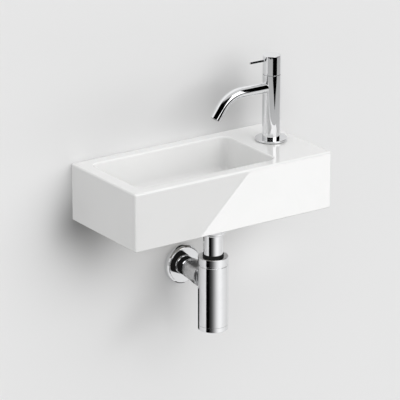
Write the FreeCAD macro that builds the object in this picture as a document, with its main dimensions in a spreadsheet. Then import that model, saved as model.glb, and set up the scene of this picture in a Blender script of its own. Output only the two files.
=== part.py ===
import FreeCAD, Part
import math
import os
import re
import Sketcher

# Small wall hung hand basin with its tap, waste and bottle trap.
# Millimetres. The wall is the plane Y = 0 and the basin stands out from it towards -Y.
# X runs along the wall, Z is up, and the origin lies on the wall midway between the two fixing bolts.

SIZES = {
    # basin
    "basin_width": 380, "basin_depth": 188, "basin_height": 96, "outer_corner": 3, "top_round": 3.5,
    "fixing_drop": 82, "fixing_spacing": 280, "fixing_bore": 13, "foot_round": 2,
    "rim_back": 22, "rim_front": 22, "rim_left": 23, "tap_deck": 95, "lip_round": 3,
    "bowl_depth": 56, "bowl_draft": 4, "rim_corner": 14, "floor_corner": 3, "floor_round": 8,
    "floor_fall": 6, "pan_width": 104, "pan_corner": 46,
    "skirt_wall": 10, "bowl_wall": 8, "deck_thick": 12, "bay_corner": 8,
    # waste hole
    "drain_inset": 74, "drain_out": 95, "recess_dia": 76, "recess_depth": 5,
    "counterbore_dia": 62, "counterbore_depth": 14, "waste_bore": 50, "boss_thick": 6, "boss_dia": 84,
    # waste
    "gasket_thick": 2, "dish_flange_dia": 71, "dish_flange": 2, "dish_dia": 59, "dish_mouth_dia": 56.6,
    "dish_depth": 12.5, "dish_floor": 2, "dish_sleeve_dia": 47, "sleeve_wall": 2,
    "strainer_hole": 6.4, "strainer_circle": 30, "strainer_holes": 10,
    "ring_dia": 72, "ring_tall": 4, "ring_round": 1.2,
    "cap_dia": 55, "cap_thick": 2.5, "cap_round": 0.8, "pivot_drop": 5, "lug_thick": 4.8, "lug_radius": 2.2,
    "fork_gap": 5.2, "fork_width": 11, "cap_pin_dia": 2, "cap_pin_play": 0.05, "post_dia": 11, "fork_tall": 6,
    "bolt_dia": 7, "bolt_play": 0.2, "bolt_reach": 56, "bolt_nut_wide": 12, "bolt_nut_tall": 5,
    "seal_thick": 4, "seal_dia": 64, "tailpiece_flange_dia": 66, "tailpiece_flange": 3,
    "tailpiece_dia": 54, "tailpiece_wall": 2.6, "tailpiece_cup": 15, "tailpiece_web": 4, "neck_dia": 41.9,
    "neck_wall": 3, "neck_long": 19, "web_hole": 6.4, "web_circle": 24, "web_holes": 6,
    # tail pipe
    "pipe_dia": 32, "pipe_wall": 1, "pipe_lip_dia": 40, "pipe_lip": 1.5, "tail_washer_thick": 2,
    "thread_play": 0.15, "tail_nut_dia": 47, "tail_nut_tall": 17, "tail_nut_lip": 2.5, "tail_reach": 40,
    # bottle trap
    "trap_dia": 50, "trap_wall": 2, "collar_rise": 42, "collar_tall": 12, "collar_lip": 2,
    "groove_tall": 3, "groove_deep": 1, "seal_show": 4, "seal_collar_dia": 34.6, "seal_flange": 2.5,
    "inlet_neck_dia": 41.6, "dip_wall": 1.5, "dip_play": 0.4, "dip_flange": 1.5, "dip_reach": 102,
    "trap_below": 86, "cup_tall": 9, "cup_spigot": 11, "cup_play": 0.4, "cup_wall": 2.4,
    "cup_seal_thick": 0.8, "cup_chamfer": 1.2, "shoulder": 3,
    # outlet to the wall
    "outlet_drop": 215, "spigot_dia": 37, "spigot_long": 14, "outlet_seal_long": 4, "cone_start_dia": 43,
    "cone_end_dia": 34, "cone_long": 41, "cone_gap": 0.5, "wall_pipe_in": 8, "wall_pipe_past": 35,
    "mark_past": 3, "mark_wide": 1, "mark_deep": 0.3,
    "flange_dia": 66, "flange_deep": 12, "flange_lip": 1.8, "flange_dish": 3, "flange_wall": 1.6,
    "flange_round": 3, "flange_play": 0.3,
    # tap
    "tap_inset": 45, "tap_out": 82, "tap_bore": 35, "tap_dia": 30, "base_dia": 53, "base_thick": 3.3,
    "base_gasket": 1, "base_chamfer": 0.6, "tap_tall": 145, "handle_tall": 31.9, "handle_gap": 0.6,
    "top_edge": 0.7, "cartridge_dia": 20.6, "cartridge_play": 0.2, "cartridge_sunk": 8.5,
    "cartridge_long": 24, "gland_dia": 24.8, "gland_play": 0.1, "gland_tall": 12, "spindle_dia": 8,
    "spindle_play": 0.3, "spindle_in": 12, "spindle_grip": 11, "handle_bore": 26, "roof_gap": 5,
    "water_bore": 10, "shank_dia": 20.95, "shank_in": 12, "shank_reach": 58, "shank_play": 0.5,
    "inlet_dia": 16.66, "inlet_long": 14,
    "lever_dia": 4, "lever_drop": 7.8, "lever_reach": 44, "lever_in": 4, "lever_end": 0.8,
    "screw_dia": 4, "screw_above": 6, "screw_in": 3, "deck_washer_dia": 44, "deck_washer": 3,
    "plate_washer": 1.5, "tap_nut_wide": 32, "tap_nut_tall": 8,
    # spout
    "spout_dia": 18, "spout_wall": 1.2, "spout_drop": 21, "spout_run": 60, "spout_bend": 50,
    "spout_turn": 54, "spout_end": 19, "spout_in": 4, "port_dia": 8, "aerator_in": 8, "aerator_out": 1.2,
    "aerator_wall": 1.2, "aerator_plate": 1.5, "aerator_hole": 1.6, "aerator_circle": 7, "aerator_holes": 8,
    # wall fixings
    "stud_dia": 8, "screw_end_dia": 7, "stud_in": 26, "stud_past": 50, "stud_tip": 5, "sleeve_play": 0.3,
    "stud_play": 0.15, "sleeve_flange_dia": 20, "sleeve_flange": 2, "fixing_washer_dia": 20,
    "fixing_washer": 1.6,
    "fixing_nut_wide": 13, "fixing_nut_tall": 6.5,
}

# Levels and radii that several pieces share, in terms of the sizes above.
SHARED = {
    "rim_z": "fixing_drop",
    "base_z": "rim_z - basin_height",
    "floor_z": "rim_z - bowl_depth",
    "pan_z": "floor_z - floor_fall",
    "recess_z": "pan_z - recess_depth",
    "step_z": "recess_z - counterbore_depth",
    "boss_z": "step_z - boss_thick",
    "dish_z": "recess_z + gasket_thick",
    "ring_z": "dish_z + dish_flange",
    "dish_floor_z": "ring_z - dish_depth",
    "cap_z": "ring_z + ring_tall",
    "pivot_z": "cap_z - pivot_drop",
    "tailpiece_z": "boss_z - seal_thick",
    "web_z": "tailpiece_z - tailpiece_cup",
    "neck_z": "web_z - tailpiece_web",
    "neck_end_z": "neck_z - neck_long",
    "tail_z": "neck_end_z - tail_washer_thick",
    "tail_nut_z": "tail_z - pipe_lip - tail_nut_lip",
    "outlet_z": "rim_z - outlet_drop",
    "collar_z": "outlet_z + collar_rise",
    "inlet_z": "collar_z - collar_lip - seal_flange - dip_flange",
    "groove_z": "collar_z - collar_tall",
    "trap_top_z": "groove_z - groove_tall",
    "trap_end_z": "outlet_z - trap_below",
    "cup_z": "trap_end_z + cup_tall",
    "trap_low_z": "cup_z + cup_seal_thick",
    "sleeve_radius": "dish_sleeve_dia/2",
    "neck_radius": "neck_dia/2",
    "pipe_radius": "pipe_dia/2",
    "trap_radius": "trap_dia/2",
    "inlet_radius": "inlet_neck_dia/2",
    "dip_radius": "pipe_radius + dip_play + dip_wall",
    "spigot_radius": "spigot_dia/2",
    "tap_radius": "tap_dia/2",
    "cartridge_radius": "cartridge_dia/2",
    "gland_radius": "gland_dia/2",
    "shank_radius": "shank_dia/2",
    "spindle_radius": "spindle_dia/2",
    "spout_radius": "spout_dia/2",
    "bowl_left": "rim_left - basin_width/2",
    "bowl_right": "basin_width/2 - tap_deck",
    "bowl_front": "rim_front - basin_depth",
    "bowl_back": "-rim_back",
    "base_top": "base_gasket + base_thick",
    "skirt_top": "tap_tall - handle_tall",
    "column_top": "skirt_top - handle_gap",
    "spout_rise": "column_top - spout_drop",
    "cartridge_top": "column_top - cartridge_sunk",
    "cartridge_low": "cartridge_top - cartridge_long",
    "gland_top": "cartridge_top + gland_tall",
    "handle_roof": "gland_top + roof_gap",
    "spindle_low": "cartridge_top - spindle_in",
    "spindle_top": "handle_roof + spindle_grip",
    "screw_rise": "handle_roof + screw_above",
    "lever_rise": "tap_tall - lever_drop",
    "tap_x": "basin_width/2 - tap_inset",
    "tap_y": "-tap_out",
    "drain_x": "bowl_right - drain_inset",
    "drain_y": "-drain_out",
}

UPRIGHT = FreeCAD.Rotation()
TO_WALL = FreeCAD.Rotation(FreeCAD.Vector(1, 0, 0), -90)  # turns a piece's own +Z to +Y
NEAR = 1e-3

doc = FreeCAD.newDocument("wall_hung_basin")
sheet = doc.addObject("Spreadsheet::Sheet", "Sizes")
for row, (alias, value) in enumerate(SIZES.items(), 1):
    sheet.set(f"A{row}", alias)
    sheet.set(f"B{row}", str(value))
    sheet.setAlias(f"B{row}", alias)
doc.recompute()
pieces = []


# An expression in which every size is its cell and every shared value is written out.
def bound(text):
    def swap(match):
        word = match.group(0)
        if word in SHARED:
            return "(" + bound(SHARED[word]) + ")"
        return "Sizes." + word if word in SIZES else word

    return re.sub(r"[a-z_]+[a-z]", swap, str(text))


def number(text):
    value = sheet.evalExpression(bound(text))
    return float(getattr(value, "Value", value))


def tie(item, path, text):
    item.setExpression(path, bound(text))


def place(item, side="0", out="0", up="0", turn=UPRIGHT):
    item.Placement = FreeCAD.Placement(FreeCAD.Vector(number(side), number(out), number(up)), turn)
    for axis, text in zip("xyz", (side, out, up)):
        tie(item, "Placement.Base." + axis, text)


def new_body(label):
    body = doc.addObject("PartDesign::Body", label)
    body.Label = label
    pieces.append(body)
    return body


# A sketch on one of the body's own origin planes, moved along that plane's normal.
def new_sketch(body, role="XY_Plane", lift="0"):
    sketch = body.newObject("Sketcher::SketchObject", body.Label + "_sketch")
    plane = [item for item in body.Origin.OriginFeatures if item.Role == role][0]
    sketch.AttachmentSupport = [(plane, "")]
    sketch.MapMode = "FlatFace"
    tie(sketch, "AttachmentOffset.Base.z", lift)
    doc.recompute()
    return sketch


def fix_point(sketch, shape, end, across, up):
    for kind, text in (("DistanceX", across), ("DistanceY", up)):
        index = sketch.addConstraint(Sketcher.Constraint(kind, shape, end, number(text)))
        tie(sketch, f"Constraints[{index}]", text)


def fix_radius(sketch, shape, text):
    index = sketch.addConstraint(Sketcher.Constraint("Radius", shape, number(text)))
    tie(sketch, f"Constraints[{index}]", text)


# A closed outline with straight sides, each corner held at its own two values.
def draw_outline(sketch, points):
    spots = [FreeCAD.Vector(number(across), number(up), 0) for across, up in points]
    first = sketch.GeometryCount
    count = len(points)
    for index in range(count):
        sketch.addGeometry(Part.LineSegment(spots[index], spots[(index + 1) % count]), False)
    for index in range(count):
        following = first + (index + 1) % count
        sketch.addConstraint(Sketcher.Constraint("Coincident", first + index, 2, following, 1))
    for index, (across, up) in enumerate(points):
        fix_point(sketch, first + index, 1, across, up)


def draw_circle(sketch, radius, across="0", up="0"):
    centre = FreeCAD.Vector(number(across), number(up), 0)
    shape = sketch.addGeometry(Part.Circle(centre, FreeCAD.Vector(0, 0, 1), number(radius)), False)
    fix_point(sketch, shape, 3, across, up)
    fix_radius(sketch, shape, radius)


# A rectangle with round corners: four sides, four arcs, tangent all the way round.
def draw_round_box(sketch, left, right, low, high, corner):
    x0, x1, y0, y1, r = (number(text) for text in (left, right, low, high, corner))
    ends = [((x0 + r, y0), (x1 - r, y0)), ((x1, y0 + r), (x1, y1 - r)),
            ((x1 - r, y1), (x0 + r, y1)), ((x0, y1 - r), (x0, y0 + r))]
    centres = [(x1 - r, y0 + r), (x1 - r, y1 - r), (x0 + r, y1 - r), (x0 + r, y0 + r)]
    normal = FreeCAD.Vector(0, 0, 1)
    first = sketch.GeometryCount
    for index in range(4):
        start, end = (FreeCAD.Vector(*spot, 0) for spot in ends[index])
        sketch.addGeometry(Part.LineSegment(start, end), False)
        circle = Part.Circle(FreeCAD.Vector(*centres[index], 0), normal, r)
        arc = Part.ArcOfCircle(circle, (index - 1) * math.pi / 2, index * math.pi / 2)
        sketch.addGeometry(arc, False)
    for index in range(4):
        side, arc = first + 2 * index, first + 2 * index + 1
        following = first + (2 * index + 2) % 8
        sketch.addConstraint(Sketcher.Constraint("Tangent", side, 2, arc, 1))
        sketch.addConstraint(Sketcher.Constraint("Tangent", arc, 2, following, 1))
        sketch.addConstraint(Sketcher.Constraint("Vertical" if index % 2 else "Horizontal", side))
        if index:
            sketch.addConstraint(Sketcher.Constraint("Equal", first + 1, arc))
    fix_radius(sketch, first + 1, corner)
    for shape, kind, text in ((first, "DistanceY", low), (first + 2, "DistanceX", right),
                              (first + 4, "DistanceY", high), (first + 6, "DistanceX", left)):
        index = sketch.addConstraint(Sketcher.Constraint(kind, shape, 1, number(text)))
        tie(sketch, f"Constraints[{index}]", text)


def settle(feature):
    doc.recompute()
    if {"Invalid", "Error"} & set(feature.State) or feature.Shape.isNull():
        raise RuntimeError(f"{feature.Label} did not build")
    return feature


def pad(body, sketch, length, back=False):
    feature = body.newObject("PartDesign::Pad", body.Label + "_pad")
    feature.Profile = sketch
    feature.Reversed = back
    tie(feature, "Length", length)
    return settle(feature)


# Grows a sketch's shape by half the length to each side of its plane.
def pad_both(body, sketch, length):
    feature = body.newObject("PartDesign::Pad", body.Label + "_pad")
    feature.Profile = sketch
    feature.Midplane = True
    tie(feature, "Length", length)
    return settle(feature)


# A pocket must take material away, whichever way it points.
def pocket(body, sketch, length, back=False):
    before = body.Shape.Volume
    feature = body.newObject("PartDesign::Pocket", body.Label + "_pocket")
    feature.Profile = sketch
    feature.Reversed = back
    tie(feature, "Length", length)
    settle(feature)
    if feature.Shape.Volume > before - NEAR:
        raise RuntimeError(f"{feature.Label} cut nothing")
    return feature


def spin(body, sketch, kind="Revolution"):
    feature = body.newObject("PartDesign::" + kind, body.Label + "_" + kind.lower())
    feature.Profile = sketch
    feature.ReferenceAxis = (sketch, ["V_Axis"])
    feature.Angle = 360
    return settle(feature)


def dress(body, kind, edges, size):
    base = body.Tip
    names = [f"Edge{index}" for index, edge in enumerate(base.Shape.Edges, 1) if edges(edge)]
    if not names:
        raise RuntimeError(f"{body.Label}: no edge to round")
    feature = body.newObject("PartDesign::" + kind, body.Label + "_" + kind.lower())
    feature.Base = (base, names)
    tie(feature, "Radius" if kind == "Fillet" else "Size", size)
    return settle(feature)


# Edges that lie wholly at one height.
def at_height(text):
    level = number(text)
    return lambda edge: max(abs(edge.BoundBox.ZMin - level), abs(edge.BoundBox.ZMax - level)) < NEAR


# Round edges of one radius at one height.
def ring_at(radius, text):
    level, size = number(text), number(radius)

    def test(edge):
        flat = abs(edge.BoundBox.ZMin - level) < NEAR and abs(edge.BoundBox.ZMax - level) < NEAR
        return flat and hasattr(edge.Curve, "Radius") and abs(edge.Curve.Radius - size) < NEAR

    return test


def repeat_round(body, feature, count):
    pattern = body.newObject("PartDesign::PolarPattern", body.Label + "_pattern")
    pattern.Originals = [feature]
    axis = [item for item in body.Origin.OriginFeatures if item.Role == "Z_Axis"][0]
    pattern.Axis = (axis, [""])
    pattern.Angle = 360
    tie(pattern, "Occurrences", count)
    body.Tip = pattern
    return settle(pattern)


# A turned piece: an outline of (radius, height) corners spun about the piece's own Z.
def turned(label, points, side="0", out="0", up="0", turn=UPRIGHT):
    body = new_body(label)
    sketch = new_sketch(body, "XZ_Plane")
    draw_outline(sketch, points)
    spin(body, sketch)
    place(body, side, out, up, turn)
    return body


# A flat ring or short tube, from its lower face up.
def ring(label, outer, inner, tall, side="0", out="0", up="0", turn=UPRIGHT):
    points = [(inner, "0"), (outer, "0"), (outer, tall), (inner, tall)]
    return turned(label, points, side, out, up, turn)


def groove(body, points):
    sketch = new_sketch(body, "XZ_Plane")
    draw_outline(sketch, points)
    return spin(body, sketch, "Groove")


# A hexagon nut with both faces' corners turned off.
def hex_nut(label, wide, tall, bore, side, out, up, turn=UPRIGHT):
    body = new_body(label)
    sketch = new_sketch(body)
    reach = f"{wide}/sqrt(3)"
    half = f"{wide}/2"
    draw_outline(sketch, [(reach, "0"), (f"{reach}/2", half), (f"-{reach}/2", half),
                          (f"-{reach}", "0"), (f"-{reach}/2", f"-{half}"), (f"{reach}/2", f"-{half}")])
    draw_circle(sketch, bore)
    pad(body, sketch, tall)
    past = f"{reach} + 1"
    fall = f"({past} - {half})*tan(30 deg)"
    groove(body, [(half, tall), (past, tall), (past, f"{tall} - {fall}")])
    groove(body, [(half, "0"), (past, "0"), (past, fall)])
    place(body, side, out, up, turn)
    return body


# The same piece at both fixing bolts, as two solids of one sub-part.
def fixing_pair(label, piece, out, turn=TO_WALL):
    pieces.remove(piece)
    piece.Label = label + "_one"
    place(piece, "-fixing_spacing/2", out, "0", turn)
    twin = doc.addObject("Part::Mirroring", label + "_two")
    twin.Source = piece
    twin.Normal = (1, 0, 0)
    pair = doc.addObject("Part::Compound", label)
    pair.Links = [piece, twin]
    pair.Label = label
    pieces.append(pair)
    return pair


def basin():
    body = new_body("basin")
    block = new_sketch(body, lift="base_z")
    draw_round_box(block, "-basin_width/2", "basin_width/2", "-basin_depth", "0", "outer_corner")
    pad(body, block, "basin_height")

    # Hollows under the bowl and under the tap deck, open downwards.
    under_bowl = new_sketch(body, lift="base_z")
    draw_round_box(under_bowl, "skirt_wall - basin_width/2", "basin_width/2 - skirt_wall",
                   "skirt_wall - basin_depth", "-skirt_wall", "bay_corner")
    pocket(body, under_bowl, "pan_z - bowl_wall - base_z", back=True)
    under_deck = new_sketch(body, lift="base_z")
    draw_round_box(under_deck, "bowl_right + bowl_wall", "basin_width/2 - skirt_wall",
                   "skirt_wall - basin_depth", "-skirt_wall", "bay_corner")
    pocket(body, under_deck, "basin_height - deck_thick", back=True)
    boss = new_sketch(body, lift="boss_z")
    draw_circle(boss, "boss_dia/2", "drain_x", "drain_y")
    pad(body, boss, "pan_z - bowl_wall - boss_z")

    # The bowl: nearly upright sides, then a floor that falls to a pan round the waste.
    rim = new_sketch(body, lift="rim_z")
    draw_round_box(rim, "bowl_left", "bowl_right", "bowl_front", "bowl_back", "rim_corner")
    bowl = pocket(body, rim, "bowl_depth")
    tie(bowl, "TaperAngle", "-atan(bowl_draft/bowl_depth)")
    settle(bowl)
    dress(body, "Fillet", at_height("floor_z"), "floor_round")
    inset = "bowl_draft + floor_round"
    fall = new_sketch(body, lift="floor_z")
    draw_round_box(fall, f"bowl_left + {inset}", f"bowl_right - {inset}",
                   f"bowl_front + {inset}", f"bowl_back - {inset}", "floor_corner")
    pan = new_sketch(body, lift="pan_z")
    draw_round_box(pan, "drain_x - pan_width/2", "drain_x + pan_width/2",
                   "drain_y - pan_width/2", "drain_y + pan_width/2", "pan_corner")
    slope = body.newObject("PartDesign::SubtractiveLoft", "basin_floor")
    slope.Profile = fall
    slope.Sections = [pan]
    slope.Ruled = True
    settle(slope)

    # Waste hole: recess for the waste's flange, counterbore for its dish, bore for its sleeve.
    for dia, bottom in (("recess_dia", "recess_z"), ("counterbore_dia", "step_z"),
                        ("waste_bore", "boss_z - 1")):
        hole = new_sketch(body, lift="rim_z")
        draw_circle(hole, f"{dia}/2", "drain_x", "drain_y")
        pocket(body, hole, f"rim_z - ({bottom})")
    tap_hole = new_sketch(body, lift="rim_z")
    draw_circle(tap_hole, "tap_bore/2", "tap_x", "tap_y")
    pocket(body, tap_hole, "deck_thick + 1")
    bolt_holes = new_sketch(body, "XZ_Plane")
    for sign in ("-", ""):
        draw_circle(bolt_holes, "fixing_bore/2", f"{sign}fixing_spacing/2", "0")
    pocket(body, bolt_holes, "skirt_wall + 1", back=True)

    half_width, depth = number("basin_width/2"), number("basin_depth")
    rim_level = at_height("rim_z")

    def outside(edge):
        box = edge.BoundBox
        return (box.XMin < NEAR - half_width or box.XMax > half_width - NEAR
                or box.YMin < NEAR - depth or box.YMax > -NEAR)

    def bowl_lip(edge):
        box = edge.BoundBox
        near_tap = box.XMax > number("bowl_right") + NEAR
        return rim_level(edge) and not outside(edge) and not near_tap

    dress(body, "Fillet", lambda edge: rim_level(edge) and outside(edge), "top_round")
    dress(body, "Fillet", bowl_lip, "lip_round")
    foot = at_height("base_z")
    dress(body, "Fillet", lambda edge: foot(edge) and outside(edge), "foot_round")


def waste():
    spot = {"side": "drain_x", "out": "drain_y"}
    ring("drain_gasket", "dish_flange_dia/2", "counterbore_dia/2 - 0.5", "gasket_thick",
         up="recess_z", **spot)

    # Dish with a flange, a perforated floor and a sleeve that passes through the ceramic.
    floor_low = "dish_flange - dish_depth - dish_floor"
    floor_top = "dish_flange - dish_depth"
    sleeve_end = "boss_z - dish_z - seal_thick/2"
    dish = turned("drain_strainer", [
        ("bolt_dia/2 + bolt_play", floor_low), ("sleeve_radius - sleeve_wall", floor_low),
        ("sleeve_radius - sleeve_wall", sleeve_end), ("sleeve_radius", sleeve_end),
        ("sleeve_radius", f"{floor_low} - 1"), ("dish_dia/2", floor_low), ("dish_dia/2", "0"),
        ("dish_flange_dia/2", "0"), ("dish_flange_dia/2", "dish_flange"),
        ("dish_mouth_dia/2", "dish_flange"), ("dish_mouth_dia/2", floor_top),
        ("bolt_dia/2 + bolt_play", floor_top)], up="dish_z", **spot)
    hole = new_sketch(dish)
    draw_circle(hole, "strainer_hole/2", "strainer_circle/2", "0")
    cut = pocket(dish, hole, "dish_depth + dish_floor + 1")
    repeat_round(dish, cut, "strainer_holes")

    seal = ring("drain_ring", "ring_dia/2", "dish_mouth_dia/2", "ring_tall", up="ring_z", **spot)
    dress(seal, "Fillet", ring_at("ring_dia/2", "ring_tall"), "ring_round")

    # Bolt down the middle, with a fork on top that carries the tilting cap.
    shoulder = "pivot_z - fork_tall - dish_floor_z"
    bolt = turned("drain_bolt", [
        ("0", "-bolt_reach"), ("bolt_dia/2", "-bolt_reach"), ("bolt_dia/2", "0"),
        ("post_dia/2", "0"), ("post_dia/2", shoulder), ("0", shoulder)], up="dish_floor_z", **spot)
    pivot = "pivot_z - dish_floor_z"
    fork = new_sketch(bolt, "YZ_Plane", "0")
    draw_outline(fork, [("-fork_width/2", "1"), ("-fork_gap/2", "1"), ("-fork_gap/2", f"{pivot}"),
                        ("-fork_width/2", f"{pivot}")])
    draw_outline(fork, [("fork_gap/2", "1"), ("fork_width/2", "1"), ("fork_width/2", f"{pivot}"),
                        ("fork_gap/2", f"{pivot}")])
    pad_both(bolt, fork, "lug_radius*2")
    knuckle = new_sketch(bolt, "XZ_Plane", "fork_gap/2")
    draw_circle(knuckle, "lug_radius", "0", pivot)
    pad(bolt, knuckle, "(fork_width - fork_gap)/2")
    knuckle = new_sketch(bolt, "XZ_Plane", "-fork_gap/2")
    draw_circle(knuckle, "lug_radius", "0", pivot)
    pad(bolt, knuckle, "(fork_width - fork_gap)/2", back=True)
    eye = new_sketch(bolt, "XZ_Plane", "-fork_width/2 - 1")
    draw_circle(eye, "cap_pin_dia/2", "0", pivot)
    pocket(bolt, eye, "fork_width + 2", back=True)

    pin = new_body("cap_pin")
    sketch = new_sketch(pin, "XZ_Plane", "-fork_width/2")
    draw_circle(sketch, "cap_pin_dia/2")
    pad(pin, sketch, "fork_width")
    place(pin, "drain_x", "drain_y", "pivot_z")

    # Cap: a disc level with the ring's top and a lug below it, its own Z from the hinge pin.
    cap = turned("drain_cap", [
        ("0", "pivot_drop - cap_thick"), ("cap_dia/2", "pivot_drop - cap_thick"),
        ("cap_dia/2", "pivot_drop"), ("0", "pivot_drop")], up="pivot_z", **spot)
    dress(cap, "Fillet", ring_at("cap_dia/2", "pivot_drop"), "cap_round")
    lug = new_sketch(cap, "XZ_Plane", "-lug_thick/2")
    draw_outline(lug, [("-lug_radius", "0"), ("lug_radius", "0"), ("lug_radius", "pivot_drop - cap_thick/2"),
                       ("-lug_radius", "pivot_drop - cap_thick/2")])
    pad(cap, lug, "lug_thick")
    lug_end = new_sketch(cap, "XZ_Plane", "-lug_thick/2")
    draw_circle(lug_end, "lug_radius")
    pad(cap, lug_end, "lug_thick")
    eye = new_sketch(cap, "XZ_Plane", "-lug_thick/2 - 1")
    draw_circle(eye, "cap_pin_dia/2 + cap_pin_play")
    pocket(cap, eye, "lug_thick + 2", back=True)

    # Below the ceramic: seal, cup-shaped tailpiece with a web for the bolt, nut on the bolt.
    ring("drain_seal", "seal_dia/2", "sleeve_radius + 0.5", "seal_thick", up="tailpiece_z", **spot)
    cup_in = "tailpiece_dia/2 - tailpiece_wall"
    neck_in = "neck_radius - neck_wall"
    web_top = "-tailpiece_cup"
    web_low = "-tailpiece_cup - tailpiece_web"
    neck_low = f"{web_low} - neck_long"
    tailpiece = turned("drain_tailpiece", [
        ("bolt_dia/2 + bolt_play", web_low), (neck_in, web_low), (neck_in, neck_low),
        ("neck_radius", neck_low), ("neck_radius", f"{web_low} + 1"),
        ("tailpiece_dia/2", f"{web_top} + 4"), ("tailpiece_dia/2", "-tailpiece_flange"),
        ("tailpiece_flange_dia/2", "-tailpiece_flange"), ("tailpiece_flange_dia/2", "0"),
        (cup_in, "0"), (cup_in, f"{web_top} + 4"), (f"{cup_in} - 4", web_top),
        ("bolt_dia/2 + bolt_play", web_top)], up="tailpiece_z", **spot)
    hole = new_sketch(tailpiece)
    draw_circle(hole, "web_hole/2", "web_circle/2", "0")
    cut = pocket(tailpiece, hole, "tailpiece_cup + tailpiece_web + 1")
    repeat_round(tailpiece, cut, "web_holes")
    hex_nut("drain_bolt_nut", "bolt_nut_wide", "bolt_nut_tall", "bolt_dia/2 + thread_play",
            "drain_x", "drain_y", "neck_z - bolt_nut_tall")


def tail():
    spot = {"side": "drain_x", "out": "drain_y"}
    ring("tail_washer", "pipe_lip_dia/2", "pipe_radius - pipe_wall", "tail_washer_thick", up="tail_z", **spot)
    tail_long = "tail_z - collar_z + tail_reach"
    turned("tail_pipe", [
        ("pipe_radius - pipe_wall", f"-({tail_long})"), ("pipe_radius", f"-({tail_long})"),
        ("pipe_radius", "-pipe_lip"), ("pipe_lip_dia/2", "-pipe_lip"), ("pipe_lip_dia/2", "0"),
        ("pipe_radius - pipe_wall", "0")], up="tail_z", **spot)
    nut = turned("tail_nut", [
        ("pipe_radius + thread_play", "0"), ("tail_nut_dia/2", "0"), ("tail_nut_dia/2", "tail_nut_tall"),
        ("neck_radius + thread_play", "tail_nut_tall"), ("neck_radius + thread_play", "tail_nut_lip"),
        ("pipe_radius + thread_play", "tail_nut_lip")], up="tail_nut_z", **spot)
    for level in ("0", "tail_nut_tall"):
        dress(nut, "Chamfer", ring_at("tail_nut_dia/2", level), "base_chamfer")


def trap():
    spot = {"side": "drain_x", "out": "drain_y"}

    # Rubber seal round the pipe: a flange held under the collar and a lip that shows above it.
    turned("trap_inlet_seal", [
        ("pipe_radius", "0"), ("inlet_radius", "0"), ("inlet_radius", "seal_flange"),
        ("seal_collar_dia/2", "seal_flange"), ("seal_collar_dia/2", "seal_flange + collar_lip + seal_show"),
        ("pipe_radius", "seal_flange + collar_lip + seal_show")],
        up="collar_z - collar_lip - seal_flange", **spot)
    collar = turned("trap_collar_nut", [
        ("inlet_radius + thread_play", "0"), ("trap_radius", "0"), ("trap_radius", "collar_tall"),
        ("seal_collar_dia/2", "collar_tall"), ("seal_collar_dia/2", "collar_tall - collar_lip"),
        ("inlet_radius + thread_play", "collar_tall - collar_lip")], up="groove_z", **spot)
    dress(collar, "Chamfer", ring_at("trap_radius", "collar_tall"), "base_chamfer")

    # Plastic dip tube, hung from the neck by its own flange; the pipe slides down inside it.
    dip_in = "dip_radius - dip_wall"
    turned("trap_dip_tube", [
        (dip_in, "-dip_reach"), ("dip_radius", "-dip_reach"), ("dip_radius", "0"),
        ("inlet_radius", "0"), ("inlet_radius", "dip_flange"), (dip_in, "dip_flange")],
        up="inlet_z", **spot)

    # Body: neck, grooved shoulder and barrel in one turning, with a threaded side outlet.
    body = new_body("trap_body")
    outside = new_sketch(body, "XZ_Plane")
    draw_outline(outside, [
        ("0", "trap_low_z"), ("trap_radius", "trap_low_z"), ("trap_radius", "trap_top_z"),
        ("trap_radius - groove_deep", "trap_top_z"), ("trap_radius - groove_deep", "groove_z"),
        ("inlet_radius", "groove_z"), ("inlet_radius", "inlet_z"), ("0", "inlet_z")])
    spin(body, outside)
    spigot = new_sketch(body, "XZ_Plane")
    draw_circle(spigot, "spigot_radius", "0", "outlet_z")
    pad(body, spigot, "trap_radius + spigot_long", back=True)
    roof = "trap_top_z - shoulder"
    groove(body, [
        ("0", "trap_low_z - 1"), ("trap_radius - trap_wall", "trap_low_z - 1"),
        ("trap_radius - trap_wall", roof), ("dip_radius + thread_play", roof),
        ("dip_radius + thread_play", "inlet_z + 1"), ("0", "inlet_z + 1")])
    bore = new_sketch(body, "XZ_Plane")
    draw_circle(bore, "pipe_radius + dip_play", "0", "outlet_z")
    pocket(body, bore, "trap_radius + spigot_long + 1")
    place(body, "drain_x", "drain_y", "0")

    # Screw-off cup that closes the bottom, with its sealing ring.
    spigot_out = "trap_radius - trap_wall - cup_play"
    cup = turned("trap_cup", [
        ("0", "0"), ("trap_radius", "0"), ("trap_radius", "cup_tall"), (spigot_out, "cup_tall"),
        (spigot_out, "cup_tall + cup_spigot"), (f"{spigot_out} - cup_wall", "cup_tall + cup_spigot"),
        (f"{spigot_out} - cup_wall", "cup_wall"), ("0", "cup_wall")], up="trap_end_z", **spot)
    dress(cup, "Chamfer", ring_at("trap_radius", "0"), "cup_chamfer")
    ring("trap_cup_seal", "trap_radius - 0.5", spigot_out, "cup_seal_thick", up="cup_z", **spot)


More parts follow.
